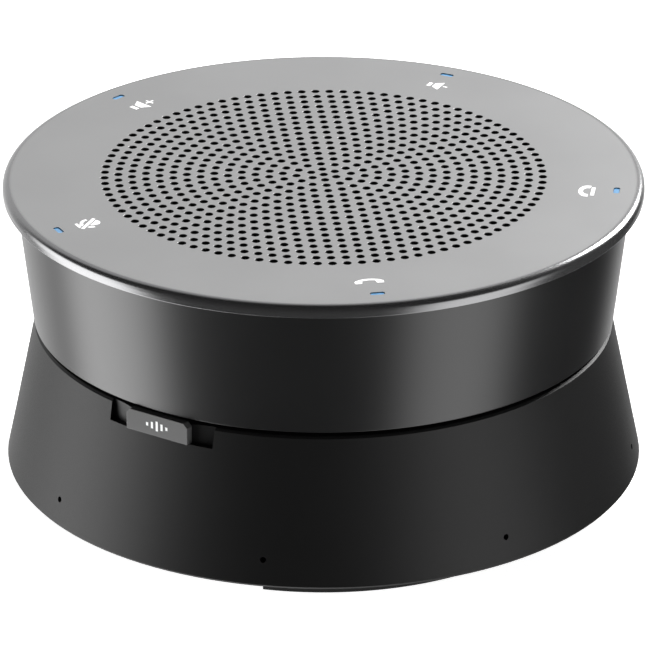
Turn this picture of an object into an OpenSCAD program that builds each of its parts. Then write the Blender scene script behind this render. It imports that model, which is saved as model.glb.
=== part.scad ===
// Conference speakerphone: a waisted round body with a perforated top,
// a full-range driver in a sealed chamber, and a microphone array in the base.
// Millimetres. Z up, origin on the table under the centre.
// -Y points at the badge plate and the cable way.

/* [Body] */
// Overall height
total_h = 68.2; // [64:0.1:84]
// Radius of the rim of the top cap
lip_r = 65; // [64.4:0.1:80]
// Thickness of the rim of the top cap
lip_t = 2.5; // [2.3:0.1:4]
// Radius of the round along the rim
lip_round = 1.5; // [1:0.1:2.7]
// Overhang of the rim past the upper shell
lip_over = 2.6; // [1.5:0.1:3]
// Height of the lower edge of the upper shell
waist_h = 38.5; // [37:0.1:42]
// Outer radius of the upper shell at the waist
waist_r = 59.3; // [58.6:0.1:76]
// Open seam between the two shells
waist_gap = 1; // [0.6:0.1:1.6]
// Step in from the upper shell to the lower shell at the waist
waist_step = 0.3; // [0:0.1:1]
// Outer radius of the lower edge of the base
base_r = 65.3; // [64:0.1:82]
// Height of the lower edge of the base
base_h = 7.2; // [6.8:0.1:8]
// Wall of the upper shell
upper_wall = 1.6; // [1.2:0.1:1.8]
// Wall of the lower shell
lower_wall = 2.2; // [1.8:0.1:2.6]
// Thickness of the flanges that meet at the waist
deck_t = 2.2; // [1.8:0.1:2.6]

/* [Top cap and grille] */
// Thickness of the perforated plate
cap_t = 1.8; // [1.2:0.1:2]
// Distance between the rings of holes
hole_pitch = 2.772; // [2.2:0.001:2.8]
// Diameter of a grille hole
hole_d = 1.55; // [1:0.05:1.7]
// Number of rings of holes
rings = 16; // [8:1:16]
// Direction of the first row of holes
hole_phase = 9.2; // [0:0.1:60]

/* [Touch keys and lights] */
// Number of touch keys
keys = 5; // [3:1:6]
// Direction of the first key
key_phase = 25.3; // [20:0.1:30]
// Radius of the row of light windows
led_ring_r = 59.5; // [58:0.1:59.5]
// Length of a light window
led_l = 2.9; // [2:0.1:4]
// Width of a light window
led_w = 1.3; // [0.8:0.1:1.4]
// Depth of a light guide below the surface
led_recess = 0.2; // [0.1:0.05:0.6]
// Radius of the row of touch keys
key_ring_r = 53.2; // [52.5:0.1:53.5]
// Radius of a touch pad
pad_r = 4; // [3:0.1:4.2]

/* [Microphones] */
// Number of microphones
mics = 8; // [8]
// Diameter of a microphone port
mic_d = 1.2; // [0.8:0.1:1.6]
// Height of the ports above the table
mic_h = 12.7; // [12:0.1:13.5]

/* [Badge] */
// Width of the badge plate
badge_w = 14.6; // [10:0.1:18]
// Height of the badge plate
badge_h = 4.5; // [4.3:0.1:4.6]
// How far the plate stands out of the base at its foot
badge_proud = 0.15; // [0.1:0.05:1.2]
// Width of the recess round the plate
recess_w = 24.5; // [22:0.1:28]
// Height of the recess
recess_h = 4.1; // [3.5:0.1:4.5]
// Depth of the recess behind the plate
recess_near = 0.65; // [0.5:0.05:1.2]
// Depth of the recess at its ends
recess_depth = 2; // [1.5:0.1:2.6]

/* [Driver] */
// Outer radius of the basket flange
driver_r = 46; // [45:0.1:46.2]
// Radius of the cone at its edge
cone_r = 32; // [30:0.1:33]
// Radius of the roll of the surround
roll_r = 2.8; // [2.4:0.1:2.9]
// Outer radius of the voice coil former
coil_r = 12.5; // [11:0.1:13]
// Outer radius of the magnet
magnet_r = 27.5; // [25:0.1:28]
// Thickness of the magnet
magnet_t = 7; // [6:0.1:7.4]
// Gap on each side of the coil
coil_gap = 0.5; // [0.35:0.05:0.6]

/* [Sockets and cable way] */
// Radius of the pedestal and foot
foot_r = 52.6; // [52.2:0.1:54]
// Thickness of the rubber foot
foot_t = 1.2; // [1:0.1:1.4]
// Width of the cable way
way_w = 34; // [34:0.5:36]
// Distance of the socket wall from the centre
way_y = 33; // [32.5:0.1:33.5]
// Height of the sockets above the table
socket_h = 5.2; // [5.1:0.05:5.3]
// Distance of the side sockets from the key
socket_x = 9.5; // [9:0.1:10]
// Bore of the audio jack
jack_bore_d = 3.6; // [3.55:0.01:3.7]
// Diameter of the power key
power_d = 3.6; // [3:0.1:3.6]
// Travel of the power key
power_travel = 0.5; // [0.3:0.1:0.6]

/* [Battery] */
// Length of the battery
battery_l = 60; // [50:0.5:61]
// Width of the battery
battery_w = 40; // [30:0.5:41]
// Height of the battery
battery_h = 9; // [6:0.1:9.5]

/* [Fits] */
// Gap between parts that drop in
slack = 0.3; // [0.2:0.05:0.4]
// Gap of a screw in its thread
thread_gap = 0.02; // [0.01:0.01:0.03]

/* [Hidden] */
fine = 96;
small = 24;
eps = 0.01;

// Levels of the body
lip_z = total_h - lip_t;
lip_roll = min(lip_round, lip_t - 0.2);
cap_under = total_h - cap_t;
low_top = waist_h - waist_gap;
low_top_r = waist_r - waist_step;
shell_top_r = lip_r - lip_over;
upper_slope = (shell_top_r - waist_r) / (lip_z - waist_h);
low_slope = (base_r - low_top_r) / (low_top - base_h);
function upper_out(z) = waist_r + (z - waist_h) * upper_slope;
function upper_in(z) = upper_out(z) - upper_wall;
function low_out(z) = low_top_r + (low_top - z) * low_slope;
function low_in(z) = low_out(z) - lower_wall;

// Levels under the cap, from the top down
cloth_t = 0.3;
led_h = 0.8;
led_air = 0.1;
guide_flange_t = 0.9;
board_t = 1.2;
board_top = cap_under - guide_flange_t - led_air - led_h;
board_under = board_top - board_t;
carrier_t = 1.8;
carrier_top = board_under - 1.2;
carrier_under = carrier_top - carrier_t;
grille_r = rings * hole_pitch + hole_d / 2;
cloth_r = grille_r + 1.4;
collar_in = cloth_r + 0.2;
collar_out = collar_in + 1;

// Screws: shank radius, clearance hole radius and head radius
m3_r = 1.5;
m3_hole = 1.7;
m3_head = 2.7;
m3_head_t = 2;
m25_r = 1.25;
m25_hole = 1.4;
m25_head = 2.2;
m25_head_t = 1.6;
m2_r = 1;
m2_head = 1.8;
m2_head_t = 1.3;

// Cap bosses stand between the keys
boss_r = 2.5;
boss_ring_r = led_ring_r - 5.5;
boss_phase = key_phase + 180 / keys;
cap_thread = cap_under - carrier_top - 0.8;

// Chamber that closes the back of the driver
chamber_t = 1.8;
chamber_wall = 2;
chamber_in = driver_r + 1.6;
chamber_out = chamber_in + chamber_wall;
chamber_floor = 26;
deck_in = chamber_out + 1.4;
pillar_r = 3.2;
pillar_ring_r = (deck_in + upper_in(waist_h)) / 2 - 0.15;
pillar_phase = 35;
ribbon_dir = 160;
flange_top = waist_h + deck_t;
deck_under = low_top - deck_t;

// Driver, from the flange down
gasket_t = 0.4;
flange_t = 1.2;
flange_z = carrier_under - gasket_t;
opening_r = driver_r - 5.5;
surround_t = 0.5;
land_r = opening_r + 0.5;
cone_t = 0.6;
neck_z = flange_z - 12.5;
pole_top = flange_z - 17.5;
pole_t = 3;
magnet_z = pole_top - pole_t - magnet_t;
yoke_z = magnet_z - pole_t;
coil_t = 0.6;
former_t = 0.3;
coil_h = 6.4;
coil_mid = pole_top - pole_t / 2;
pole_r = coil_r - former_t - coil_gap;
gap_r = coil_r + coil_t + coil_gap;
spider_z = pole_top + 1.5;
driver_hole_r = driver_r - 2.6;
driver_boss_r = 2.4;
lead_r = 0.7;
lead_ring_r = driver_r - 3;
lead_step = 1.5;
grommet_r = 3.1;

// Parts round the driver and the grille
carrier_in = min(opening_r, collar_in);
board_in = max(collar_out, driver_hole_r + driver_boss_r) + slack;
board_out = upper_in(board_under) - 1.3 * slack;

// Base plate
floor_z = foot_t;
floor_t = 1.4;
floor_top = floor_z + floor_t;
base_flange_z = base_h + 0.3;
base_flange_t = 2;
base_flange_top = base_flange_z + base_flange_t;
base_flange_r = low_in(base_flange_top) - slack;
pedestal_wall = 2;
way_top = 9;
way_wall = 2;
way_reach = 61;
base_screw_r = 57;
base_boss_r = 3.4;
gap_half = asin((way_w / 2 + 0.9) / foot_r);
foot_in = foot_r - 7;

// Boards and battery
main_z = 16;
main_t = 1.6;
main_top = main_z + main_t;
main_r = 48.6;
post_x = 38;
post_y = [-8, 26];
post_r = 2.6;
battery_y = 10;
battery_pad_t = 0.5;
battery_z = floor_top + battery_pad_t;
battery_top = battery_z + battery_h;
strap_t = 0.8;
strap_w = 14;
strap_foot_x = battery_l / 2 + 4.2;
strap_y = 8;
strap_boss_top = 8;
usb_w = 8.94;
usb_h = 3.26;
usb_l = 7.35;
usb_wall = 0.3;
port_z = socket_h + usb_h / 2;
port_t = 1.2;
port_front = way_y - 3.8;
port_back = 16;
port_w = 35;
port_post_x = 15.2;
port_post_y = 19;
jack_w = 6;
jack_h = 5;
jack_l = 12;
key_out = 0.5;

// Microphone row
mic_face = low_in(mic_h) - 2.4;
mic_board_t = 0.8;
mic_can_t = 1.1;
mic_box_h = 5;
mic_box_w = 7;
mic_phase = 180 / mics;
ribbon_t = 0.2;

// Copies of children round the axis
module around(count, phase = 0) {
    for (i = [0:count - 1]) {
        rotate(phase + i * 360 / count) children();
    }
}

// Flat ring from radius r0 to r1 between two heights
module ring(r0, r1, z0, z1) {
    difference() {
        translate([0, 0, z0]) cylinder(r = r1, h = z1 - z0, $fn = fine);
        translate([0, 0, z0 - 1]) cylinder(r = r0, h = z1 - z0 + 2, $fn = fine);
    }
}

// Box centred in x and y between two heights
module slab(x, y, w, d, z0, z1) {
    translate([x - w / 2, y - d / 2, z0]) cube([w, d, z1 - z0]);
}

// Upright cylinder between two heights
module post(r, z0, z1) {
    translate([0, 0, z0]) cylinder(r = r, h = z1 - z0, $fn = small);
}

// Screw pointing up: the head hangs below z, the shank goes up by length
module screw_up(r, head_r, head_t, length, z) {
    difference() {
        union() {
            post(head_r, z - head_t, z);
            post(r, z - eps, z + length);
        }
        translate([0, 0, z - head_t - eps]) cylinder(r = r * 0.7, h = head_t * 0.6, $fn = 6);
    }
}

// Screw pointing down: the head stands on z, the shank goes down by length
module screw_down(r, head_r, head_t, length, z) {
    translate([0, 0, 2 * z]) mirror([0, 0, 1]) screw_up(r, head_r, head_t, length, z);
}

// Slot shape of a USB-C shell, width w and height h, along Y
module usb_outline(w, h) {
    square([w - h, h], center = true);
    translate([-(w - h) / 2, 0]) circle(d = h, $fn = small);
    translate([(w - h) / 2, 0]) circle(d = h, $fn = small);
}

// Extrusion along +Y from y0 of an outline drawn in X and Z
module along_y(x, y0, z, length) {
    translate([x, y0 + length, z]) rotate([90, 0, 0]) linear_extrude(length) children();
}

// Cylinder along Y
module rod_y(r, x, y0, z, length) {
    translate([x, y0, z]) rotate([-90, 0, 0]) cylinder(r = r, h = length, $fn = small);
}

module grille_holes() {
    translate([0, 0, cap_under - 1]) linear_extrude(cap_t + 2) {
        circle(d = hole_d, $fn = 16);
        for (k = [1:rings]) {
            for (i = [0:6 * k - 1]) {
                rotate(hole_phase + i * 60 / k) translate([k * hole_pitch, 0]) circle(d = hole_d, $fn = 16);
            }
        }
    }
}

// Cap with a rolled rim, grille, light windows and screw bosses
module top_cap() {
    color("gray") difference() {
        union() {
            rotate_extrude($fn = fine) difference() {
                union() {
                    translate([0, lip_z]) square([lip_r - lip_roll, lip_t]);
                    translate([0, lip_z]) square([lip_r, lip_t - lip_roll]);
                    intersection() {
                        translate([lip_r - lip_roll, total_h - lip_roll]) circle(r = lip_roll, $fn = 64);
                        translate([0, lip_z]) square([lip_r, lip_t]);
                    }
                }
                translate([-1, lip_z - 1]) square([upper_in(lip_z) + 1, lip_t - cap_t + 1]);
            }
            around(keys, boss_phase) translate([boss_ring_r, 0, 0]) post(boss_r, carrier_top, cap_under + eps);
        }
        grille_holes();
        around(keys, key_phase) slab(led_ring_r, 0, led_w, led_l, lip_z, total_h + 1);
        around(keys, boss_phase) translate([boss_ring_r, 0, 0])
            post(m25_r + thread_gap, carrier_top - 1, carrier_top + cap_thread);
    }
}

module acoustic_cloth() {
    color("black") translate([0, 0, cap_under - cloth_t]) cylinder(r = cloth_r, h = cloth_t, $fn = fine);
}

module light_guides() {
    color("dodgerblue") around(keys, key_phase) {
        slab(led_ring_r, 0, led_w - 0.1, led_l - 0.1, cap_under - eps, total_h - led_recess);
        slab(led_ring_r - 0.2, 0, led_w + 0.9, led_l + 1.6, cap_under - guide_flange_t, cap_under);
    }
}

module touch_leds() {
    color("lightyellow") around(keys, key_phase) slab(led_ring_r, 0, led_h, 1.6, board_top, board_top + led_h);
}

module touch_pads() {
    color("dimgray") around(keys, key_phase) translate([key_ring_r, 0, 0]) post(pad_r, board_top, cap_under);
}

module touch_board() {
    color("darkgreen") difference() {
        ring(board_in, board_out, board_under, board_top);
        around(keys, boss_phase) translate([boss_ring_r, 0, 0]) post(boss_r + slack, board_under - 1, board_top + 1);
    }
}

// Slot that lets the touch ribbon down past the chamber
module ribbon_slot(z0, z1) {
    rotate(ribbon_dir) slab(chamber_out + 0.7, 0, 1, 9, z0, z1);
}

// Ring that carries the driver and seals it to the grille
module top_carrier() {
    color("dimgray") difference() {
        union() {
            ring(carrier_in, upper_in(carrier_under) - slack, carrier_under, carrier_top);
            ring(collar_in, collar_out, carrier_top - eps, cap_under);
            around(4, 45) translate([driver_hole_r, 0, 0])
                post(driver_boss_r, carrier_top - eps, carrier_top + 1.8);
        }
        around(4, 45) translate([driver_hole_r, 0, 0])
            post(m25_r + thread_gap, carrier_under - 1, carrier_top + 1.2);
        around(keys, boss_phase) translate([boss_ring_r, 0, 0]) post(m25_hole, carrier_under - 1, carrier_top + 1);
        ribbon_slot(carrier_under - 1, carrier_top + 1);
    }
}

// Tapered sleeve with a screw flange at its foot
module upper_shell() {
    color([0.12, 0.12, 0.13]) difference() {
        rotate_extrude($fn = fine) polygon([
            [deck_in, waist_h], [waist_r - 0.4, waist_h], [upper_out(waist_h + 0.4), waist_h + 0.4],
            [shell_top_r, lip_z], [upper_in(lip_z), lip_z], [upper_in(flange_top), flange_top],
            [deck_in, flange_top]
        ]);
        around(4, pillar_phase) translate([pillar_ring_r, 0, 0]) post(m3_hole, waist_h - 1, flange_top + 1);
    }
}

// Screws that clamp the chamber and the carrier to the cap
module cap_screws() {
    color("silver") around(keys, boss_phase) translate([boss_ring_r, 0, 0])
        screw_up(m25_r, m25_head, m25_head_t, chamber_t + carrier_t + cap_thread - 0.5, carrier_under - chamber_t);
}

module driver_gasket() {
    color("black") difference() {
        ring(land_r + 0.2, driver_r, flange_z, carrier_under);
        around(4, 45) translate([driver_hole_r, 0, 0]) post(m25_hole, flange_z - 1, carrier_under + 1);
    }
}

// Pressed frame with six windows
module driver_basket() {
    leg_top = flange_z - flange_t;
    seat_z = spider_z;
    color([0.2, 0.2, 0.2]) difference() {
        rotate_extrude($fn = fine) polygon([
            [opening_r - 1.7, flange_z], [driver_r, flange_z], [driver_r, leg_top], [opening_r, leg_top],
            [magnet_r + 1.5, seat_z - 1.2], [magnet_r - 1, seat_z - 1.5], [magnet_r - 1, pole_top],
            [gap_r + 3, pole_top], [gap_r + 3, pole_top + 1], [magnet_r - 2.2, pole_top + 1],
            [magnet_r - 2.2, seat_z], [magnet_r + 0.5, seat_z], [opening_r - 1.7, leg_top]
        ]);
        around(6, 30) translate([opening_r - 6, 0, spider_z + 6.5]) rotate([0, 90, 0])
            cylinder(r = 4.5, h = 20, center = true, $fn = small);
        around(4, 45) translate([driver_hole_r, 0, 0]) post(m25_hole, leg_top - 1, flange_z + 1);
    }
}

// Half roll between the cone and the frame
module driver_surround() {
    roll_mid = (cone_r + opening_r - 1.5) / 2 + 0.3;
    color([0.08, 0.08, 0.08]) rotate_extrude($fn = fine) {
        translate([cone_r - 1.8, flange_z]) square([roll_mid - roll_r - cone_r + 1.8 + surround_t, surround_t * 0.8]);
        translate([roll_mid + roll_r - surround_t, flange_z])
            square([land_r - roll_mid - roll_r + surround_t, surround_t * 0.8]);
        intersection() {
            translate([roll_mid, flange_z]) difference() {
                circle(r = roll_r, $fn = 48);
                circle(r = roll_r - surround_t, $fn = 48);
            }
            translate([roll_mid - roll_r, flange_z]) square([2 * roll_r, roll_r]);
        }
    }
}

module driver_cone() {
    color([0.15, 0.15, 0.16]) rotate_extrude($fn = fine) polygon([
        [coil_r, neck_z], [coil_r + 0.8, neck_z], [cone_r - 2, flange_z - cone_t], [cone_r, flange_z - cone_t],
        [cone_r, flange_z], [cone_r - 2.2, flange_z], [coil_r + 0.6, neck_z + cone_t], [coil_r, neck_z + cone_t]
    ]);
}

// Dome over the coil, glued to the cone
module dust_cap() {
    dome_r = 22;
    edge_r = coil_r + 2.6;
    edge_z = neck_z + cone_t + 2 * (flange_z - neck_z - cone_t) / (cone_r - 2.8 - coil_r);
    drop = sqrt(dome_r * dome_r - edge_r * edge_r);
    color([0.1, 0.1, 0.1]) rotate_extrude($fn = fine) intersection() {
        translate([0, edge_z - drop]) difference() {
            circle(r = dome_r, $fn = 128);
            circle(r = dome_r - 0.5, $fn = 128);
        }
        translate([0, edge_z + 0.05]) square([edge_r, 20]);
    }
}

module voice_coil() {
    color("peru") union() {
        ring(coil_r - former_t, coil_r - thread_gap, coil_mid - coil_h / 2, neck_z + cone_t + 0.6);
        ring(coil_r - former_t, coil_r + coil_t, coil_mid - coil_h / 2, coil_mid + coil_h / 2);
    }
}

// Corrugated suspension, one wave every 3 mm
module driver_spider() {
    inner = coil_r + thread_gap;
    outer = magnet_r;
    wave = 0.7;
    steps = 48;
    rise = [for (i = [0:steps]) let (u = i / steps, r = inner + (outer - inner) * u)
        [r, spider_z + 0.9 + wave * sin(360 * (r - inner) / 3) * sin(180 * min(1, (1 - u) * 2.2 + 0.001) / 2)
            - 0.9 * pow(u, 3)]];
    color("goldenrod") rotate_extrude($fn = fine) polygon(concat(
        rise, [for (i = [steps:-1:0]) [rise[i][0], rise[i][1] + 0.4]]
    ));
}

module front_pole_plate() {
    color("silver") ring(gap_r, magnet_r - 1, pole_top - pole_t, pole_top);
}

module driver_magnet() {
    color([0.25, 0.25, 0.25]) ring(gap_r + 2.5, magnet_r, magnet_z, magnet_z + magnet_t);
}

// Back plate and centre pole in one turning
module pole_yoke() {
    color("silver") difference() {
        union() {
            translate([0, 0, yoke_z]) cylinder(r = magnet_r - 1, h = pole_t, $fn = fine);
            translate([0, 0, yoke_z]) cylinder(r = pole_r, h = pole_top - yoke_z, $fn = fine);
        }
        translate([0, 0, yoke_z - 1]) cylinder(r = 3, h = pole_top - yoke_z + 2, $fn = small);
    }
}

module driver_screws() {
    color("silver") around(4, 45) translate([driver_hole_r, 0, 0])
        screw_up(m25_r, m25_head, m25_head_t, flange_t + gasket_t + carrier_t + 0.9, flange_z - flange_t);
}

// Tag board under the frame flange, with a hole for each lead
module driver_terminals() {
    z1 = flange_z - flange_t;
    color("tan") difference() {
        slab(lead_ring_r, 0, 5, 8, z1 - 1.6, z1);
        for (s = [-1, 1]) {
            translate([lead_ring_r, s * lead_step, 0]) post(lead_r + thread_gap, z1 - 2.6, z1 - 0.5);
        }
    }
}

module speaker_leads() {
    color("firebrick") for (s = [-1, 1]) {
        translate([lead_ring_r, s * lead_step, 0]) post(lead_r, main_top + 4, flange_z - flange_t - 0.6);
    }
}

module lead_grommet() {
    color("black") difference() {
        translate([lead_ring_r, 0, 0]) union() {
            post(grommet_r, chamber_floor - 0.8, chamber_floor + chamber_wall + 0.8);
            post(grommet_r + 0.9, chamber_floor - 0.8, chamber_floor);
            post(grommet_r + 0.9, chamber_floor + chamber_wall, chamber_floor + chamber_wall + 0.8);
        }
        for (s = [-1, 1]) {
            translate([lead_ring_r, s * lead_step, 0])
                post(lead_r + thread_gap, chamber_floor - 2, chamber_floor + chamber_wall + 2);
        }
    }
}

// Sealed cup behind the driver, on four pillars that take the waist screws
module driver_chamber() {
    flange_under = carrier_under - chamber_t;
    color([0.3, 0.3, 0.32]) difference() {
        union() {
            ring(chamber_in, upper_in(flange_under) - slack, flange_under, carrier_under);
            ring(chamber_in, chamber_out, chamber_floor, flange_under + eps);
            translate([0, 0, chamber_floor]) cylinder(r = chamber_in + eps, h = chamber_wall, $fn = fine);
            around(4, pillar_phase) {
                translate([pillar_ring_r, 0, 0]) post(pillar_r, flange_top, flange_under + eps);
                slab((chamber_in + pillar_ring_r) / 2 + 0.5, 0, pillar_ring_r - chamber_in - 1, 2,
                    flange_top, flange_under + eps);
            }
        }
        translate([lead_ring_r, 0, 0]) post(grommet_r + thread_gap, chamber_floor - 1, chamber_floor + chamber_wall + 1);
        around(4, pillar_phase) translate([pillar_ring_r, 0, 0]) post(m3_r + thread_gap, flange_top - 1, flange_top + 8);
        around(keys, boss_phase) translate([boss_ring_r, 0, 0]) post(m25_hole, flange_under - 1, carrier_under + 1);
        ribbon_slot(flange_under - 1, carrier_under + 1);
    }
}

// Flat cable from the touch board to the main board, outside the chamber
module touch_ribbon() {
    color("orange") rotate(ribbon_dir) {
        slab(chamber_out + 0.7, 0, ribbon_t, 8, main_top + 2, board_under);
        slab(chamber_out - 2.75, 0, 7.1, 8, main_top + 2, main_top + 2 + ribbon_t);
    }
}

module waist_gasket() {
    color("black") difference() {
        ring(deck_in, low_top_r - recess_depth - 0.2, low_top, waist_h);
        around(4, pillar_phase) translate([pillar_ring_r, 0, 0]) post(m3_hole, low_top - 1, waist_h + 1);
    }
}

module waist_screws() {
    color("silver") around(4, pillar_phase) translate([pillar_ring_r, 0, 0])
        screw_up(m3_r, m3_head, m3_head_t, 2 * deck_t + waist_gap + 6.5, deck_under);
}

// Space of the badge recess, whose floor slopes back from the plate to both ends
module badge_recess() {
    near = low_top_r - recess_near;
    far = low_top_r - recess_depth;
    translate([0, 0, low_top - recess_h]) linear_extrude(recess_h + 1) polygon([
        [-recess_w / 2, -far], [-badge_w / 2, -near], [badge_w / 2, -near], [recess_w / 2, -far],
        [recess_w / 2, -low_top_r - 8], [-recess_w / 2, -low_top_r - 8]
    ]);
}

// Tapered base casing with a deck, screw bosses and microphone ports
module lower_shell() {
    color([0.09, 0.09, 0.09]) difference() {
        union() {
            rotate_extrude($fn = fine) polygon([
                [deck_in, low_top], [low_top_r - 0.4, low_top], [low_out(low_top - 0.4), low_top - 0.4],
                [low_out(base_h + 0.5), base_h + 0.5], [base_r - 0.5, base_h], [low_in(base_h), base_h],
                [low_in(deck_under), deck_under], [deck_in, deck_under]
            ]);
            intersection() {
                slab(0, -low_top_r + 2.4, recess_w + 4, 7, low_top - recess_h - 2, low_top - 0.5);
                translate([0, 0, base_h]) cylinder(r1 = low_in(base_h) + 1, r2 = low_in(low_top) + 1,
                    h = low_top - base_h, $fn = fine);
            }
            intersection() {
                around(4, 45) {
                    translate([base_screw_r, 0, 0]) post(base_boss_r, base_flange_top, deck_under + eps);
                    slab(base_screw_r + 4, 0, 8, 2, base_flange_top, deck_under + eps);
                }
                translate([0, 0, base_h]) cylinder(r1 = low_in(base_h) + 1, r2 = low_in(low_top) + 1,
                    h = low_top - base_h, $fn = fine);
            }
        }
        badge_recess();
        around(mics, mic_phase) translate([0, 0, mic_h]) rotate([0, 90, 0]) cylinder(d = mic_d, h = 90, $fn = small);
        around(4, 45) translate([base_screw_r, 0, 0]) post(m3_r + thread_gap, base_flange_top - 1, base_flange_top + 9);
        around(4, pillar_phase) translate([pillar_ring_r, 0, 0]) post(m3_hole, deck_under - 1, low_top + 1);
    }
}

// Plate with clipped top corners, standing in its recess
module badge_plate() {
    foot = low_top - recess_h;
    face = low_out(foot) + badge_proud;
    clip = 0.9;
    half = badge_w / 2;
    color([0.13, 0.13, 0.13]) difference() {
        along_y(0, -face, foot, face - low_top_r + recess_near) polygon([
            [-half, 0], [half, 0], [half, badge_h - clip], [half - clip, badge_h], [clip - half, badge_h],
            [-half, badge_h - clip]
        ]);
        translate([0, 0, waist_h - 0.1]) cylinder(r = waist_r + 0.4, h = badge_h, $fn = fine);
    }
}

// Rubber boots shaped to the slope of the casing
module mic_gaskets() {
    color("black") intersection() {
        around(mics, mic_phase) difference() {
            slab(mic_face + 3, 0, 6, mic_box_w, mic_h - mic_box_h / 2, mic_h + mic_box_h / 2);
            translate([0, 0, mic_h]) rotate([0, 90, 0]) cylinder(d = mic_d, h = 90, $fn = small);
        }
        translate([0, 0, base_h]) cylinder(r1 = low_in(base_h), r2 = low_in(low_top), h = low_top - base_h, $fn = 720);
    }
}

module mic_boards() {
    color("darkgreen") around(mics, mic_phase) difference() {
        slab(mic_face - mic_board_t / 2, 0, mic_board_t, mic_box_w + 1, mic_h - 2.8, mic_h + 2.8);
        translate([mic_face - 2, 0, mic_h]) rotate([0, 90, 0]) cylinder(r = 0.4, h = 4, $fn = small);
    }
}

module mic_capsules() {
    x = mic_face - mic_board_t - mic_can_t / 2;
    color("silver") around(mics, mic_phase) slab(x, 0, mic_can_t, 3.5, mic_h - 1.4, mic_h + 1.4);
}

// Flat cables from the microphones to the edge of the main board
module mic_ribbons() {
    top = mic_face - mic_board_t;
    z = mic_h + 2.1;
    color("orange") around(mics, mic_phase) {
        slab(top - ribbon_t / 2, 0, ribbon_t, 3, mic_h + 1.5, z + ribbon_t);
        slab((top + main_r - 0.6) / 2, 0, top - main_r + 0.6, 3, z, z + ribbon_t);
        slab(main_r - 0.5, 0, ribbon_t, 3, z, main_z);
    }
}

// Space of the cable way under the base
module cable_way() {
    slab(0, -(way_y + way_reach) / 2, way_w, way_reach - way_y, -1, way_top);
}

// Pan with a pedestal, a flange, the cable way and the posts inside it
module base_plate() {
    color([0.07, 0.07, 0.07]) difference() {
        union() {
            difference() {
                union() {
                    translate([0, 0, floor_z]) cylinder(r = foot_r, h = base_flange_z - floor_z + eps, $fn = fine);
                    translate([0, 0, base_flange_z]) cylinder(r = base_flange_r, h = base_flange_t, $fn = fine);
                }
                translate([0, 0, floor_top])
                    cylinder(r = foot_r - pedestal_wall, h = base_flange_top, $fn = fine);
            }
            intersection() {
                slab(0, -(way_y - way_wall + way_reach) / 2, way_w + 2 * way_wall, way_reach - way_y + way_wall,
                    floor_z, way_top + way_wall);
                translate([0, 0, floor_z]) cylinder(r = foot_r, h = 20, $fn = fine);
            }
            for (x = [-1, 1], y = post_y) {
                translate([x * post_x, y, 0]) post(post_r, floor_top - eps, main_z);
            }
            for (x = [-1, 1]) {
                translate([x * strap_foot_x, strap_y, 0]) post(2.6, floor_top - eps, strap_boss_top);
                translate([x * port_post_x, -port_post_y, 0]) post(2.2, floor_top - eps, port_z);
            }
        }
        cable_way();
        along_y(-socket_x, -way_y - 1, socket_h, way_wall + 2) usb_outline(usb_w + 2 * slack, usb_h + 2 * slack);
        rod_y(jack_w / 2, socket_x, -way_y - 1, socket_h, way_wall + 2);
        rod_y(power_d / 2 + slack, 0, -way_y - 1, socket_h, way_wall + 2);
        for (x = [-1, 1], y = post_y) {
            translate([x * post_x, y, 0]) post(m25_r + thread_gap, main_z - 7, main_z + 1);
        }
        for (x = [-1, 1]) {
            translate([x * strap_foot_x, strap_y, 0]) post(m2_r + thread_gap, strap_boss_top - 4, strap_boss_top + 1);
            translate([x * port_post_x, -port_post_y, 0]) post(m2_r + thread_gap, port_z - 3.4, port_z + 1);
        }
        around(4, 45) translate([base_screw_r, 0, base_flange_z - eps]) {
            cylinder(r = m3_hole, h = 4, $fn = small);
            cylinder(r1 = m3_head + 0.2, r2 = m3_hole, h = 1.4, $fn = small);
        }
    }
}

// Rubber ring, open at the cable way
module rubber_foot() {
    reach = 2 * foot_r;
    color([0.04, 0.04, 0.04]) difference() {
        rotate_extrude($fn = fine) polygon([
            [foot_in, foot_t], [foot_in, 0.4], [foot_in + 0.4, 0], [foot_r - 0.6, 0], [foot_r, 0.5], [foot_r, foot_t]
        ]);
        translate([0, 0, -1]) linear_extrude(foot_t + 2) polygon([
            [0, 0], [-reach * sin(gap_half), -reach * cos(gap_half)], [reach * sin(gap_half), -reach * cos(gap_half)]
        ]);
    }
}

// Countersunk screws that hold the base plate
module base_screws() {
    color("silver") around(4, 45) translate([base_screw_r, 0, base_flange_z]) difference() {
        union() {
            cylinder(r1 = m3_head, r2 = m3_r, h = 1.25, $fn = small);
            cylinder(r = m3_r, h = 9.5, $fn = small);
        }
        translate([0, 0, -1]) cylinder(r = 1, h = 1.9, $fn = 6);
    }
}

module main_board() {
    color("darkgreen") difference() {
        translate([0, 0, main_z]) cylinder(r = main_r, h = main_t, $fn = fine);
        for (x = [-1, 1], y = post_y) {
            translate([x * post_x, y, 0]) post(m25_hole, main_z - 1, main_top + 1);
        }
    }
}

// Packages as [x, y, width, depth, height]
module board_chips() {
    chips = [
        [-16, 12, 14, 14, 1.2], [4, 20, 9, 9, 1], [20, 8, 10, 6, 1], [-2, -4, 7, 7, 1.1], [18, -10, 5, 6, 1.4],
        [-20, -8, 8, 5, 1], [-6, 32, 6, 6, 0.9], [10, -24, 6, 4, 1.2]
    ];
    color([0.15, 0.15, 0.15]) for (c = chips) {
        slab(c[0], c[1], c[2], c[3], main_top, main_top + c[4]);
    }
}

// Folded steel covers, open underneath
module shield_cans() {
    cans = [[-25, 28, 16, 14, 2.6], [-6, -30, 18, 12, 2.4]];
    color("lightgray") for (c = cans) {
        difference() {
            slab(c[0], c[1], c[2], c[3], main_top, main_top + c[4]);
            slab(c[0], c[1], c[2] - 0.6, c[3] - 0.6, main_top - 1, main_top + c[4] - 0.3);
        }
    }
}

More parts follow.
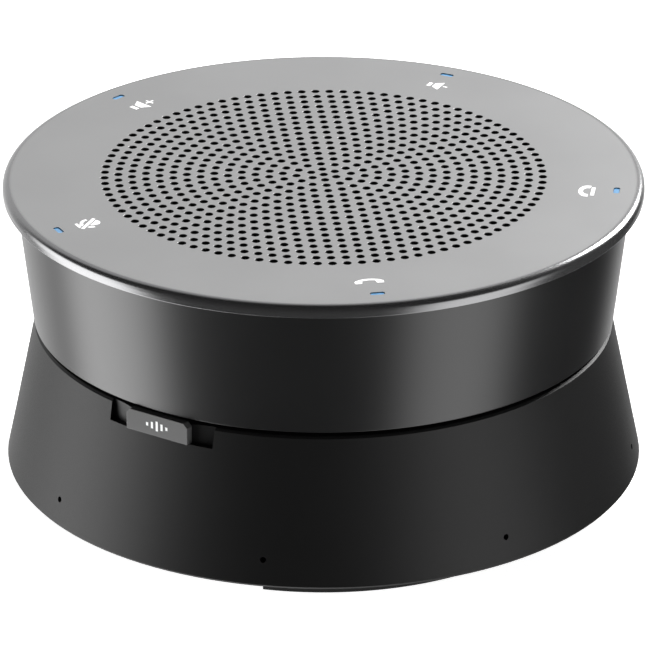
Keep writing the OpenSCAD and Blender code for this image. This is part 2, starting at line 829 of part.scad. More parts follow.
module board_capacitors() {
    spots = [[30, -26], [37, -19], [22, -33], [26, 26], [19, 32]];
    color("dimgray") for (s = spots) {
        translate([s[0], s[1], 0]) post(3, main_top, main_top + 6.8);
    }
}

// Cable sockets on the main board; the speaker socket lies under its leads
module board_sockets() {
    color("ivory") {
        slab(lead_ring_r, 0, 7, 8, main_top, main_top + 4);
        rotate(ribbon_dir) slab(chamber_out - 5.3, 0, 5, 10, main_top, main_top + 2);
        slab(12, -13.5, 8, 5, main_z - 3, main_z);
        slab(-8, -17.6, 12, 4, main_z - 2, main_z);
    }
}

module board_screws() {
    color("silver") for (x = [-1, 1], y = post_y) {
        translate([x * post_x, y, 0]) screw_down(m25_r, m25_head, m25_head_t, main_t + 6, main_top);
    }
}

module battery_pad() {
    color("dimgray") slab(0, battery_y, battery_l - 6, battery_w - 6, floor_top, battery_z);
}

// Pouch cell with rounded long edges and a folded seal at its front
module battery_pack() {
    edge = 2;
    color("lightsteelblue") {
        translate([-battery_l / 2, 0, 0]) rotate([90, 0, 90]) linear_extrude(battery_l) union() {
            translate([battery_y - battery_w / 2 + edge, battery_z]) square([battery_w - 2 * edge, battery_h]);
            translate([battery_y - battery_w / 2, battery_z + edge]) square([battery_w, battery_h - 2 * edge]);
            for (y = [-1, 1], z = [edge, battery_h - edge]) {
                translate([battery_y + y * (battery_w / 2 - edge), battery_z + z]) circle(r = edge, $fn = small);
            }
        }
    }
}

// Bent strip over the battery with a foot on each boss
module battery_strap() {
    out = battery_l / 2 + slack;
    color("silver") difference() {
        union() {
            slab(0, strap_y, 2 * (out + strap_t), strap_w, battery_top, battery_top + strap_t);
            for (x = [-1, 1]) {
                slab(x * (out + strap_t / 2), strap_y, strap_t, strap_w, strap_boss_top, battery_top + strap_t);
                slab(x * (out + 3.4), strap_y, 6.8, 6, strap_boss_top, strap_boss_top + strap_t);
            }
        }
        for (x = [-1, 1]) {
            translate([x * strap_foot_x, strap_y, 0]) post(m2_r + 0.15, strap_boss_top - 1, strap_boss_top + 2);
        }
    }
}

module strap_screws() {
    color("silver") for (x = [-1, 1]) {
        translate([x * strap_foot_x, strap_y, 0])
            screw_down(m2_r, m2_head, m2_head_t, strap_t + 3.5, strap_boss_top + strap_t);
    }
}

// Two leads that come out of the battery and turn up to their socket
module battery_leads() {
    bend = 2;
    front = battery_y - battery_w / 2;
    run = -13.5 + bend - front;
    color("firebrick") for (s = [-1, 1]) {
        translate([12 + s * lead_step, front, battery_z + battery_h / 2]) {
            rotate([90, 0, 0]) cylinder(r = lead_r, h = -run, $fn = small);
            translate([0, run, bend]) rotate([0, 90, 180]) rotate_extrude(angle = 90, $fn = small)
                translate([bend, 0]) circle(r = lead_r, $fn = small);
            translate([0, run - bend, bend])
                cylinder(r = lead_r, h = main_z - 3 - battery_z - battery_h / 2 - bend, $fn = small);
        }
    }
}

module port_board() {
    color("darkgreen") difference() {
        slab(0, -(port_front + port_back) / 2, port_w, port_front - port_back, port_z, port_z + port_t);
        slab(socket_x, -way_y + way_wall + jack_l / 2, jack_w + 0.4, jack_l + 0.4, port_z - 1, port_z + port_t + 1);
        for (x = [-1, 1]) {
            translate([x * port_post_x, -port_post_y, 0]) post(m2_r + 0.15, port_z - 1, port_z + port_t + 1);
        }
    }
}

module port_screws() {
    color("silver") for (x = [-1, 1]) {
        translate([x * port_post_x, -port_post_y, 0]) screw_down(m2_r, m2_head, m2_head_t, port_t + 3, port_z + port_t);
    }
}

module port_ribbon() {
    color("orange") slab(-8, -17.6, 10, ribbon_t, port_z + port_t, main_z - 2);
}

// Drawn steel shell with its contact tongue
module usb_socket() {
    mouth = -way_y;
    color("silver") {
        difference() {
            along_y(-socket_x, mouth, socket_h, usb_l) usb_outline(usb_w, usb_h);
            along_y(-socket_x, mouth - 1, socket_h, usb_l) usb_outline(usb_w - 2 * usb_wall, usb_h - 2 * usb_wall);
        }
        slab(-socket_x, mouth + usb_l / 2 + 0.4, 6.6, usb_l - 1.2, socket_h - 0.35, socket_h + 0.35);
    }
}

// Headphone jack with a nose through the wall and a blind bore
module audio_jack() {
    back = -way_y + way_wall;
    color([0.1, 0.1, 0.1]) difference() {
        union() {
            slab(socket_x, back + jack_l / 2, jack_w, jack_l, socket_h - jack_h / 2, socket_h + jack_h / 2);
            rod_y(jack_w / 2 - thread_gap, socket_x, -way_y, socket_h, way_wall + eps);
        }
        rod_y(jack_bore_d / 2, socket_x, -way_y - 1, socket_h, way_wall + jack_l);
    }
}

// Side-acting switch under the port board, with a short plunger
module power_switch() {
    front = -way_y + way_wall + power_travel + 1.9;
    color("dimgray") {
        slab(0, front + 2, 5, 4, socket_h - 1.5, port_z);
        rod_y(0.9, 0, front - 0.5, socket_h, 0.6);
    }
}

// Round key with a collar that stops it inside the wall
module power_key() {
    color([0.16, 0.16, 0.16]) {
        rod_y(power_d / 2, 0, -way_y - key_out, socket_h, way_wall + key_out + 0.1);
        rod_y(power_d / 2 + 0.5, 0, -way_y + way_wall + 0.05, socket_h, 0.8);
    }
}

top_cap();
acoustic_cloth();
light_guides();
touch_leds();
touch_pads();
touch_board();
top_carrier();
upper_shell();
cap_screws();
driver_gasket();
driver_basket();
driver_surround();
driver_cone();
dust_cap();
voice_coil();
driver_spider();
front_pole_plate();
driver_magnet();
pole_yoke();
driver_screws();
driver_terminals();
speaker_leads();
lead_grommet();
driver_chamber();
touch_ribbon();
waist_gasket();
waist_screws();
lower_shell();
badge_plate();
mic_gaskets();
mic_boards();
mic_capsules();
mic_ribbons();
base_plate();
rubber_foot();
base_screws();
main_board();
board_chips();
shield_cans();
board_capacitors();
board_sockets();
board_screws();
battery_pad();
battery_pack();
battery_strap();
strap_screws();
battery_leads();
port_board();
port_screws();
port_ribbon();
usb_socket();
audio_jack();
power_switch();
power_key();
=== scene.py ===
"""Looks of a round conference speakerphone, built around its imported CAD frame.

The frame gives the solids, their places and their bodies. This script makes the
fine pieces (cap, lenses, key marks, sleeve, casing, badge, foot, base pan, screws,
surround and suspension), gives every piece its finish, and sets up the floor, the
surround, the light and the camera. Sizes in the classes are in millimetres and
angles in degrees; meshes and the studio are in metres.
"""

import logging
import math
from dataclasses import dataclass, field
from enum import Enum
from typing import Any, Iterable, Sequence

import bmesh
import bpy
from mathutils import Matrix, Vector
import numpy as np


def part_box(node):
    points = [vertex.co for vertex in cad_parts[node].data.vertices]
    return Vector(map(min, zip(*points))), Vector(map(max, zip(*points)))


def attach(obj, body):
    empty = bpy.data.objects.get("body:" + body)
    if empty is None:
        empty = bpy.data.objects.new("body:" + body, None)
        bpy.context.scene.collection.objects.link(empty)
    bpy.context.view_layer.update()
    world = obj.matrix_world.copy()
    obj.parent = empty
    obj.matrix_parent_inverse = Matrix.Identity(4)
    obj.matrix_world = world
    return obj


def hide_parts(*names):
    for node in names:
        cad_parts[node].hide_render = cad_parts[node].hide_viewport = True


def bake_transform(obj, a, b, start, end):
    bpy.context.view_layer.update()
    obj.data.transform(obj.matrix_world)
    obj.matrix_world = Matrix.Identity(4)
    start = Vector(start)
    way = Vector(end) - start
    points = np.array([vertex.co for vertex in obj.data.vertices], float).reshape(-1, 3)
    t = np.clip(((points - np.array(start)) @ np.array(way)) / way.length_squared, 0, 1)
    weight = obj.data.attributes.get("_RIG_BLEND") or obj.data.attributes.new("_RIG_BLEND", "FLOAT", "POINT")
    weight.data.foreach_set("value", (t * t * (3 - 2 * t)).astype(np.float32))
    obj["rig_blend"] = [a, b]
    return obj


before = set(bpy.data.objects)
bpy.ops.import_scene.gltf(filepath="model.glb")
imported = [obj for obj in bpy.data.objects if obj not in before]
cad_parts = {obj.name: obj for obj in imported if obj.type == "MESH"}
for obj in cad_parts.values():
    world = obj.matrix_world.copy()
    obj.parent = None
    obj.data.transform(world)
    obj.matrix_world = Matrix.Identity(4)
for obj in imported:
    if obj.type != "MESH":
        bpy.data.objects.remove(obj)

log = logging.getLogger("speakerphone")

MM = 0.001
WELD = 1e-6  # Corners closer than this, in metres, are one corner.
FLAT = 1.0  # Neighbouring faces that differ by fewer degrees than this are one face.
ROUND_STEPS = 2  # Faces across a rounded edge.
SHADE_WEIGHT = 80  # Above 50, large faces lead the shading of the small ones beside them.
NOISE_LOW, NOISE_HIGH = 0.3, 0.7  # Most of a noise lies between these.

Pair = tuple[float, float]
Triple = tuple[float, float, float]


class Body(Enum):
    """Moving bodies of the frame."""

    MAIN = "body"
    CONE = "driver_cone"
    KEY = "power_key"


class KeyMark(Enum):
    """Marks printed beside the touch keys, in order round the cap."""

    HOLD = "hold"
    SOFTER = "softer"
    LOUDER = "louder"
    MUTE = "mute"
    CALL = "call"


class Facing(Enum):
    """Which way the top of a printed mark points."""

    OUTWARD = "outward"
    INWARD = "inward"
    ROUND = "round"


# ---------------------------------------------------------------- node graphs


class Wire:
    """Output socket of a node, whose arithmetic adds Math nodes to its graph."""

    def __init__(self, graph: "Graph", socket: bpy.types.NodeSocket) -> None:
        """Keeps the socket and the graph that it belongs to."""
        self.graph = graph
        self.socket = socket

    def _math(self, operation: str, *terms: Any) -> "Wire":
        """Adds one Math node and returns its result."""
        return self.graph.node("ShaderNodeMath", {"operation": operation}, dict(enumerate(terms)))[0]

    def __add__(self, other: Any) -> "Wire":
        """Returns self + other."""
        return self._math("ADD", self, other)

    __radd__ = __add__

    def __sub__(self, other: Any) -> "Wire":
        """Returns self - other."""
        return self._math("SUBTRACT", self, other)

    def __rsub__(self, other: Any) -> "Wire":
        """Returns other - self."""
        return self._math("SUBTRACT", other, self)

    def __mul__(self, other: Any) -> "Wire":
        """Returns self * other."""
        return self._math("MULTIPLY", self, other)

    __rmul__ = __mul__

    def __truediv__(self, other: Any) -> "Wire":
        """Returns self / other."""
        return self._math("DIVIDE", self, other)

    def __rtruediv__(self, other: Any) -> "Wire":
        """Returns other / self."""
        return self._math("DIVIDE", other, self)

    def __pow__(self, other: Any) -> "Wire":
        """Returns self raised to other."""
        return self._math("POWER", self, other)

    def call(self, operation: str, *others: Any) -> "Wire":
        """Returns the result of a named Math operation on self and the others."""
        return self._math(operation, self, *others)

    def ramp(self, start: Any, end: Any, low: float = 0.0, high: float = 1.0) -> "Wire":
        """Eases from low to high while the value goes from start to end.

        Args:
            start: value where the ease begins.
            end: value where the ease is complete.
            low: result before start.
            high: result after end.

        Returns:
            The eased value.
        """
        values = {"Value": self, "From Min": start, "From Max": end, "To Min": low, "To Max": high}
        return self.graph.node("ShaderNodeMapRange", {"interpolation_type": "SMOOTHSTEP"}, values)["Result"]


class Made:
    """A node with its outputs as wires."""

    def __init__(self, graph: "Graph", node: bpy.types.Node) -> None:
        """Keeps the node and its graph."""
        self.graph = graph
        self.node = node

    def __getitem__(self, key: int | str) -> Wire:
        """Returns the output with that number, identifier or name."""
        return Wire(self.graph, find_socket(self.node.outputs, key))


def find_socket(sockets: Any, key: int | str) -> bpy.types.NodeSocket:
    """Finds a socket by number, identifier or name.

    Args:
        sockets: inputs or outputs of a node.
        key: number, identifier or name.

    Returns:
        The socket.
    """
    if isinstance(key, int):
        return sockets[key]
    for socket in sockets:
        if socket.identifier == key:
            return socket
    return next(socket for socket in sockets if socket.name == key and socket.enabled)


class Graph:
    """Node tree that is written as calls."""

    def __init__(self, tree: bpy.types.NodeTree) -> None:
        """Keeps the tree, emptied."""
        self.tree = tree
        tree.nodes.clear()

    def node(self, kind: str, settings: dict[str, Any] | None = None,
             values: dict[Any, Any] | None = None) -> Made:
        """Adds a node.

        Args:
            kind: node type.
            settings: properties of the node, set before its sockets.
            values: constants, wires or lists of wires for its input sockets.

        Returns:
            The node with its outputs.
        """
        made = self.tree.nodes.new(kind)
        for name, value in (settings or {}).items():
            setattr(made, name, value)
        for key, value in (values or {}).items():
            self._feed(find_socket(made.inputs, key), value)
        return Made(self, made)

    def _feed(self, socket: bpy.types.NodeSocket, value: Any) -> None:
        """Links or sets one input socket.

        Args:
            socket: the input.
            value: a wire, a list of wires, or a constant.
        """
        if isinstance(value, Wire):
            self.tree.links.new(value.socket, socket)
        elif isinstance(value, list):
            for wire in value:
                self.tree.links.new(wire.socket, socket)
        elif isinstance(value, tuple) and socket.type == "RGBA":
            socket.default_value = (*value, 1.0)
        else:
            socket.default_value = value


class Surface(Graph):
    """Material graph round one Principled shader."""

    def __init__(self, name: str) -> None:
        """Makes the material and its shader.

        Args:
            name: name of the material.
        """
        self.material = bpy.data.materials.new(name)
        self.material.use_nodes = True
        super().__init__(self.material.node_tree)
        self.shader = self.node("ShaderNodeBsdfPrincipled")
        self.node("ShaderNodeOutputMaterial", None, {"Surface": self.shader["BSDF"]})
        self.place = self.node("ShaderNodeTexCoord")["Object"]

    def set(self, **sockets: Any) -> None:
        """Sets or links the shader's sockets, named with underscores for spaces."""
        for name, value in sockets.items():
            self._feed(find_socket(self.shader.node.inputs, name.replace("_", " ")), value)

    def noise(self, size: float, detail: float = 2.0, place: Wire | None = None) -> Wire:
        """Noise with features of that size in millimetres, from 0 to 1."""
        values = {"Vector": place or self.place, "Scale": 1 / (size * MM), "Detail": detail}
        return self.node("ShaderNodeTexNoise", None, values)["Fac"]

    def axes(self) -> tuple[Wire, Wire, Wire]:
        """Object coordinates as three wires, in metres."""
        split = self.node("ShaderNodeSeparateXYZ", None, {0: self.place})
        return split[0], split[1], split[2]

    def radius(self) -> Wire:
        """Distance from the upright axis, in metres."""
        x, y, _ = self.axes()
        return (x * x + y * y) ** 0.5

    def mix(self, share: Any, first: Any, second: Any) -> Wire:
        """Mixes two colours by a share from 0 to 1."""
        values = {"Factor_Float": share, "A_Color": first, "B_Color": second}
        return self.node("ShaderNodeMix", {"data_type": "RGBA"}, values)["Result_Color"]

    def tint(self, color: Any, shade: Wire, depth: float) -> Wire:
        """Lets a colour vary by a noise.

        Args:
            color: middle colour.
            shade: value from 0 to 1.
            depth: share by which the colour varies each way.

        Returns:
            The varied colour.
        """
        factor = shade.ramp(NOISE_LOW, NOISE_HIGH, 1 - depth, 1 + depth)
        return self.node("ShaderNodeVectorMath", {"operation": "SCALE"},
                         {"Vector": color, "Scale": factor})[0]

    def bump(self, height: Wire, depth: float, strength: float = 1.0) -> Wire:
        """Normal from a height of 0 to 1 that is depth millimetres deep."""
        values = {"Height": height, "Distance": depth * MM, "Strength": strength}
        return self.node("ShaderNodeBump", None, values)["Normal"]


class Recipe(Graph):
    """Geometry Nodes tree with named inputs, applied to an object as a plain mesh."""

    def __init__(self, name: str) -> None:
        """Makes the tree with a geometry input and output.

        Args:
            name: name of the tree.
        """
        super().__init__(bpy.data.node_groups.new(name, "GeometryNodeTree"))
        self.sockets: dict[str, str] = {}
        self._add_socket("Geometry", "INPUT", "NodeSocketGeometry")
        self._add_socket("Result", "OUTPUT", "NodeSocketGeometry")
        self.inputs = self.node("NodeGroupInput")

    def _add_socket(self, name: str, side: str, kind: str) -> None:
        """Adds a socket to the tree's interface and keeps its identifier."""
        socket = self.tree.interface.new_socket(name, in_out=side, socket_type=kind)
        self.sockets[name] = socket.identifier

    def size(self, name: str, kind: str = "NodeSocketFloat") -> Wire:
        """Adds a named input and returns it."""
        self._add_socket(name, "INPUT", kind)
        return self.inputs[name]

    def points(self, count: Wire, place: Wire) -> Wire:
        """Loose points at a place worked out from their number."""
        return self.node("GeometryNodePoints", None, {"Count": count, "Position": place})["Geometry"]

    def index(self) -> Wire:
        """Number of each point."""
        return self.node("GeometryNodeInputIndex")[0]

    def vector(self, x: Any, y: Any, z: Any) -> Wire:
        """Vector from three values."""
        return self.node("ShaderNodeCombineXYZ", None, {0: x, 1: y, 2: z})[0]

    def ring(self, count: Wire, radius: Wire, phase: Wire) -> tuple[Wire, Wire]:
        """Points evenly round the upright axis.

        Args:
            count: number of points.
            radius: radius of the ring.
            phase: direction of the first point, in radians.

        Returns:
            The points, and the turn that points each one outwards.
        """
        angle = phase + self.index() * math.tau / count
        place = self.vector(radius * angle.call("COSINE"), radius * angle.call("SINE"), 0.0)
        return self.points(count, place), self.vector(0.0, 0.0, angle)

    def copies(self, points: Wire, shape: Wire, turn: Wire | None = None) -> Wire:
        """Real copies of a shape on points.

        Args:
            points: where the copies stand.
            shape: what is copied.
            turn: rotation of each copy, if they differ.

        Returns:
            The copies, as real geometry.
        """
        values = {"Points": points, "Instance": shape}
        if turn is not None:
            values["Rotation"] = turn
        placed = self.node("GeometryNodeInstanceOnPoints", None, values)["Instances"]
        return self.node("GeometryNodeRealizeInstances", None, {"Geometry": placed})[0]

    def moved(self, shape: Wire, offset: Wire) -> Wire:
        """Shape moved by an offset."""
        return self.node("GeometryNodeTransform", None, {"Geometry": shape, "Translation": offset})[0]

    def joined(self, *shapes: Wire) -> Wire:
        """Shapes joined in one."""
        return self.node("GeometryNodeJoinGeometry", None, {"Geometry": list(shapes)})[0]

    def close(self, shape: Wire) -> None:
        """Ends the tree: real copies, one finish, output.

        Args:
            shape: the finished geometry.
        """
        finish = self.size("Finish", "NodeSocketMaterial")
        real = self.node("GeometryNodeRealizeInstances", None, {"Geometry": shape})[0]
        dressed = self.node("GeometryNodeSetMaterial", None, {"Geometry": real, "Material": finish})[0]
        self.node("NodeGroupOutput", None, {"Result": dressed})

    def run(self, piece: bpy.types.Object, values: dict[str, Any]) -> bpy.types.Object:
        """Runs the tree on a piece and leaves a plain mesh.

        Args:
            piece: object whose mesh is the input.
            values: values of the named inputs.

        Returns:
            The same object with its new mesh.
        """
        modifier = piece.modifiers.new(self.tree.name, "NODES")
        modifier.node_group = self.tree
        for name, value in values.items():
            modifier[self.sockets[name]] = value
        apply_modifiers(piece)
        return piece


def apply_modifiers(piece: bpy.types.Object) -> None:
    """Turns a piece and its modifiers into a plain mesh.

    Args:
        piece: the piece.
    """
    bpy.context.view_layer.update()
    graph = bpy.context.evaluated_depsgraph_get()
    mesh = bpy.data.meshes.new_from_object(piece.evaluated_get(graph))
    piece.modifiers.clear()
    piece.data = mesh


# ------------------------------------------------------------------- finishes


@dataclass(frozen=True)
class Finish:
    """A surface finish, made once as a material.

    Sizes of grain, threads and depths are in millimetres. A field that ends in
    _tint is the share by which a colour varies. The roughness goes at most
    rough_less below its middle value and rough_more above it.
    """

    name: str
    slot: str
    color: Triple
    roughness: float
    rough_less: float = 0.05
    rough_more: float = 0.05

    def material(self) -> bpy.types.Material:
        """Returns the finish's material, making it on first use.

        Returns:
            The material.
        """
        known = bpy.data.materials.get(self.name)
        if known is not None:
            return known
        surface = Surface(self.name)
        self.paint(surface)
        return surface.material

    def rough(self, shade: Wire) -> Wire:
        """Roughness that varies with a noise."""
        low, high = self.roughness - self.rough_less, self.roughness + self.rough_more
        return shade.ramp(NOISE_LOW, NOISE_HIGH, low, high)

    def shaded(self, share: float) -> Triple:
        """The finish's colour times a share."""
        red, green, blue = (part * share for part in self.color)
        return red, green, blue

    def paint(self, surface: Surface) -> None:
        """Writes the finish into a material graph."""
        raise NotImplementedError


@dataclass(frozen=True)
class SatinCap(Finish):
    """Bead-blasted anodised metal, with painted shade that darkens the rounded rim and paints the holes and
    their edges black.
    """

    rough_less: float = 0.04
    # Painted shade: the rim is the face's metal, darkened to stand in for how light falls on the roll.
    painted_rim_shade: Triple = (0.18, 0.18, 0.183)
    rim_gloss: float = 0.19
    rim_tint: float = 0.06
    # Painted shade: the holes and their edge breaks are painted near black where shade falls in them.
    painted_hole_shade: Triple = (0.004, 0.004, 0.004)
    hole_matte: float = 0.55
    face_r: float = 63.45
    rim_fade: float = 0.4
    grille_r: float = 46.0
    grille_fade: float = 0.2
    top: float = 68.18
    hole_start: float = 0.005
    hole_depth: float = 0.04
    grain: float = 0.22
    grain_tint: float = 0.05
    cloud: float = 24.0
    cloud_tint: float = 0.025
    metallic: float = 0.9
    depth: float = 0.003
    strength: float = 0.2

    def paint(self, surface: Surface) -> None:
        """Grey face with fine grain, a rim darkened by painted shade, and holes painted matte black as shade.

        Args:
            surface: the graph of its material.
        """
        _, _, z = surface.axes()
        radius = surface.radius()
        grain = surface.noise(self.grain, 3)
        face = surface.tint(self.color, surface.noise(self.cloud, 2), self.cloud_tint)
        face = surface.tint(face, grain, self.grain_tint)
        # Mask of the rim, where painted shade darkens the colour and the sheen is smoother.
        rim = radius.ramp((self.face_r - self.rim_fade) * MM, (self.face_r + self.rim_fade) * MM)
        # Mask of the holes below the face inside the grille: painted black as shade, matte and not metallic.
        sunk = z.ramp((self.top - self.hole_depth) * MM, (self.top - self.hole_start) * MM, 1.0, 0.0)
        inside = radius.ramp((self.grille_r - self.grille_fade) * MM, self.grille_r * MM, 1.0, 0.0)
        hole = sunk * inside
        color = surface.mix(rim, face, surface.tint(self.painted_rim_shade, grain, self.rim_tint))
        surface.set(
            Base_Color=surface.mix(hole, color, self.painted_hole_shade),
            Metallic=(1 - hole) * self.metallic,
            Roughness=self.rough(grain) - rim * self.rim_gloss + hole * self.hole_matte,
            Normal=surface.bump(grain, self.depth, self.strength),
        )


@dataclass(frozen=True)
class SatinPaint(Finish):
    """Smooth satin coat over metal, with a faint orange peel."""

    rough_less: float = 0.03
    rough_more: float = 0.03
    peel: float = 0.9
    peel_share: float = 0.4
    grain: float = 0.12
    cloud: float = 14.0
    cloud_tint: float = 0.05
    specular: float = 0.5
    depth: float = 0.002
    strength: float = 0.35

    def paint(self, surface: Surface) -> None:
        """Dark coat whose sheen varies slightly.

        Args:
            surface: the graph of its material.
        """
        peel = surface.noise(self.peel, 1)
        grain = surface.noise(self.grain, 2)
        height = peel * self.peel_share + grain * (1 - self.peel_share)
        surface.set(
            Base_Color=surface.tint(self.color, surface.noise(self.cloud), self.cloud_tint),
            Roughness=self.rough(grain),
            Specular_IOR_Level=self.specular,
            Normal=surface.bump(height, self.depth, self.strength),
        )


@dataclass(frozen=True)
class Moulded(Finish):
    """Moulded plastic or rubber with a spark-eroded grain."""

    rough_more: float = 0.06
    grain: float = 0.18
    grain_tint: float = 0.06
    cloud: float = 9.0
    cloud_tint: float = 0.05
    depth: float = 0.008
    strength: float = 0.6
    specular: float = 0.5

    def paint(self, surface: Surface) -> None:
        """Even colour with a fine matte texture.

        Args:
            surface: the graph of its material.
        """
        grain = surface.noise(self.grain, 4)
        color = surface.tint(self.color, surface.noise(self.cloud, 2), self.cloud_tint)
        surface.set(
            Base_Color=surface.tint(color, grain, self.grain_tint),
            Roughness=self.rough(grain),
            Specular_IOR_Level=self.specular,
            Normal=surface.bump(grain, self.depth, self.strength),
        )


@dataclass(frozen=True)
class Woven(Finish):
    """Plain weave of round threads."""

    pitch: float = 0.24
    crossing: float = 0.6
    painted_gap_shade: float = 0.35
    sheen: float = 0.3
    depth: float = 0.05
    strength: float = 0.8

    def paint(self, surface: Surface) -> None:
        """Crossed threads, over and under by turns, with painted shade in the gaps between them.

        Args:
            surface: the graph of its material.
        """
        x, y, _ = surface.axes()
        step = math.pi / (self.pitch * MM)
        across = (x * step).call("SINE")
        along = (y * step).call("SINE")
        weave = (across * along).ramp(-self.crossing, self.crossing)
        warp = (x * step * 2).call("COSINE") * 0.5 + 0.5
        weft = (y * step * 2).call("COSINE") * 0.5 + 0.5
        height = weave * warp + (1 - weave) * weft
        spread = self.rough_less + self.rough_more
        surface.set(
            # Painted shade: the colour darkens where the threads dip, as if shade fell between them.
            Base_Color=surface.mix(height, self.shaded(self.painted_gap_shade), self.color),
            Roughness=height * spread + (self.roughness - self.rough_less),
            Sheen_Weight=self.sheen,
            Normal=surface.bump(height, self.depth, self.strength),
        )


@dataclass(frozen=True)
class Machined(Finish):
    """Bare metal with tool lines round the upright axis."""

    rough_less: float = 0.06
    rough_more: float = 0.08
    line: float = 0.3
    line_share: float = 0.5
    grain: float = 0.4
    wear: float = 5.0
    wear_tint: float = 0.1
    metallic: float = 1.0
    depth: float = 0.006
    strength: float = 0.4

    def paint(self, surface: Surface) -> None:
        """Metal with rings and fine scratches.

        Args:
            surface: the graph of its material.
        """
        lines = (surface.radius() * (math.tau / (self.line * MM))).call("SINE") * 0.5 + 0.5
        grain = surface.noise(self.grain, 4)
        height = lines * self.line_share + grain * (1 - self.line_share)
        surface.set(
            Base_Color=surface.tint(self.color, surface.noise(self.wear, 3), self.wear_tint),
            Metallic=self.metallic,
            Roughness=self.rough(grain),
            Normal=surface.bump(height, self.depth, self.strength),
        )


@dataclass(frozen=True)
class Pulp(Finish):
    """Pressed paper with short fibres."""

    fibre: float = 0.8
    stretch: float = 3.2
    fibre_edge: Pair = (0.52, 0.68)
    fibre_gain: float = 2.4
    fibre_lift: float = 0.01
    depth: float = 0.03
    strength: float = 0.7

    def paint(self, surface: Surface) -> None:
        """Dark pulp with lighter fibres.

        Args:
            surface: the graph of its material.
        """
        drawn = {"Vector": surface.place, "Scale": (1.0, self.stretch, 1.0)}
        fibres = surface.noise(self.fibre, 4, surface.node("ShaderNodeMapping", None, drawn)[0])
        lighter = tuple(part + self.fibre_lift for part in self.shaded(self.fibre_gain))
        surface.set(
            Base_Color=surface.mix(fibres.ramp(*self.fibre_edge), self.color, lighter),
            Roughness=self.rough(fibres),
            Normal=surface.bump(fibres, self.depth, self.strength),
        )


@dataclass(frozen=True)
class Wound(Finish):
    """Enamelled wire wound in even turns."""

    rough_more: float = 0.1
    wire: float = 0.2
    painted_gap_shade: float = 0.4
    metallic: float = 0.9
    depth: float = 0.06
    strength: float = 0.8

    def paint(self, surface: Surface) -> None:
        """Rounded turns stacked along the axis, with painted shade between the turns.

        Args:
            surface: the graph of its material.
        """
        _, _, z = surface.axes()
        turn = (z * (math.pi / (self.wire * MM))).call("SINE").call("ABSOLUTE")
        surface.set(
            # Painted shade: the colour darkens in the grooves between turns.
            Base_Color=surface.mix(turn, self.shaded(self.painted_gap_shade), self.color),
            Metallic=self.metallic,
            Roughness=turn * -self.rough_more + (self.roughness + self.rough_more),
            Normal=surface.bump(turn, self.depth, self.strength),
        )


@dataclass(frozen=True)
class Laminate(Finish):
    """Circuit board with tracks under the solder mask."""

    rough_more: float = 0.1
    cell: float = 1.6
    track_color: Triple = (0.03, 0.16, 0.05)
    track_start: Pair = (0.42, 0.5)
    track_end: Pair = (0.6, 0.68)
    pad_color: Triple = (0.6, 0.52, 0.3)
    pad_edge: Pair = (0.1, 0.14)
    pad_metallic: float = 0.8
    depth: float = 0.03
    strength: float = 0.5

    def paint(self, surface: Surface) -> None:
        """Mask colour over lighter, raised tracks and round pads.

        Args:
            surface: the graph of its material.
        """
        cells = surface.node("ShaderNodeTexVoronoi", {"feature": "F1", "distance": "MANHATTAN"},
                             {"Vector": surface.place, "Scale": 1 / (self.cell * MM)})["Distance"]
        tracks = cells.ramp(*self.track_start) * (1 - cells.ramp(*self.track_end))
        pads = 1 - cells.ramp(*self.pad_edge)
        color = surface.mix(tracks, self.color, self.track_color)
        surface.set(
            Base_Color=surface.mix(pads, color, self.pad_color),
            Metallic=pads * self.pad_metallic,
            Roughness=tracks * self.rough_more + self.roughness,
            Normal=surface.bump(tracks + pads, self.depth, self.strength),
        )


@dataclass(frozen=True)
class Lens(Finish):
    """Tinted light guide, lit from below."""

    cloud: float = 1.4
    cloud_tint: float = 0.08
    glow: float = 0.18
    glow_color: Triple = (0.08, 0.42, 0.85)
    glow_tint: float = 0.15
    coat: float = 0.5

    def paint(self, surface: Surface) -> None:
        """Milky blue with a soft, uneven glow.

        Args:
            surface: the graph of its material.
        """
        cloud = surface.noise(self.cloud, 2)
        surface.set(
            Base_Color=surface.tint(self.color, cloud, self.cloud_tint),
            Roughness=self.rough(cloud),
            Emission_Color=surface.tint(self.glow_color, cloud, self.glow_tint),
            Emission_Strength=self.glow,
            Coat_Weight=self.coat,
        )


@dataclass(frozen=True)
class Ink(Finish):
    """Pad-printed ink with a faint speckle, which may glow as painted light with no lamp behind it."""

    speckle: float = 0.12
    speckle_tint: float = 0.04
    glow: float = 0.0
    depth: float = 0.003
    strength: float = 0.4

    def paint(self, surface: Surface) -> None:
        """Even ink with tiny pinholes of shade.

        Args:
            surface: the graph of its material.
        """
        speckle = surface.noise(self.speckle, 3)
        color = surface.tint(self.color, speckle, self.speckle_tint)
        surface.set(
            Base_Color=color,
            Roughness=self.rough(speckle),
            # A glow above zero is painted light: the ink shines though nothing lights it.
            Emission_Color=color,
            Emission_Strength=self.glow,
            Normal=surface.bump(speckle, self.depth, self.strength),
        )


@dataclass(frozen=True)
class FlatCable(Finish):
    """Film cable with its conductors showing."""

    rough_more: float = 0.1
    pitch: float = 0.5
    stripe_edge: float = 0.2
    stripe_shade: float = 0.55
    depth: float = 0.02
    strength: float = 0.5

    def paint(self, surface: Surface) -> None:
        """Amber film over darker conductors.

        Args:
            surface: the graph of its material.
        """
        x, y, _ = surface.axes()
        wave = ((x + y) * (math.tau / (self.pitch * MM))).call("SINE")
        stripes = wave.ramp(-self.stripe_edge, self.stripe_edge)
        surface.set(
            Base_Color=surface.mix(stripes, self.color, self.shaded(self.stripe_shade)),
            Roughness=stripes * self.rough_more + self.roughness,
            Normal=surface.bump(stripes, self.depth, self.strength),
        )


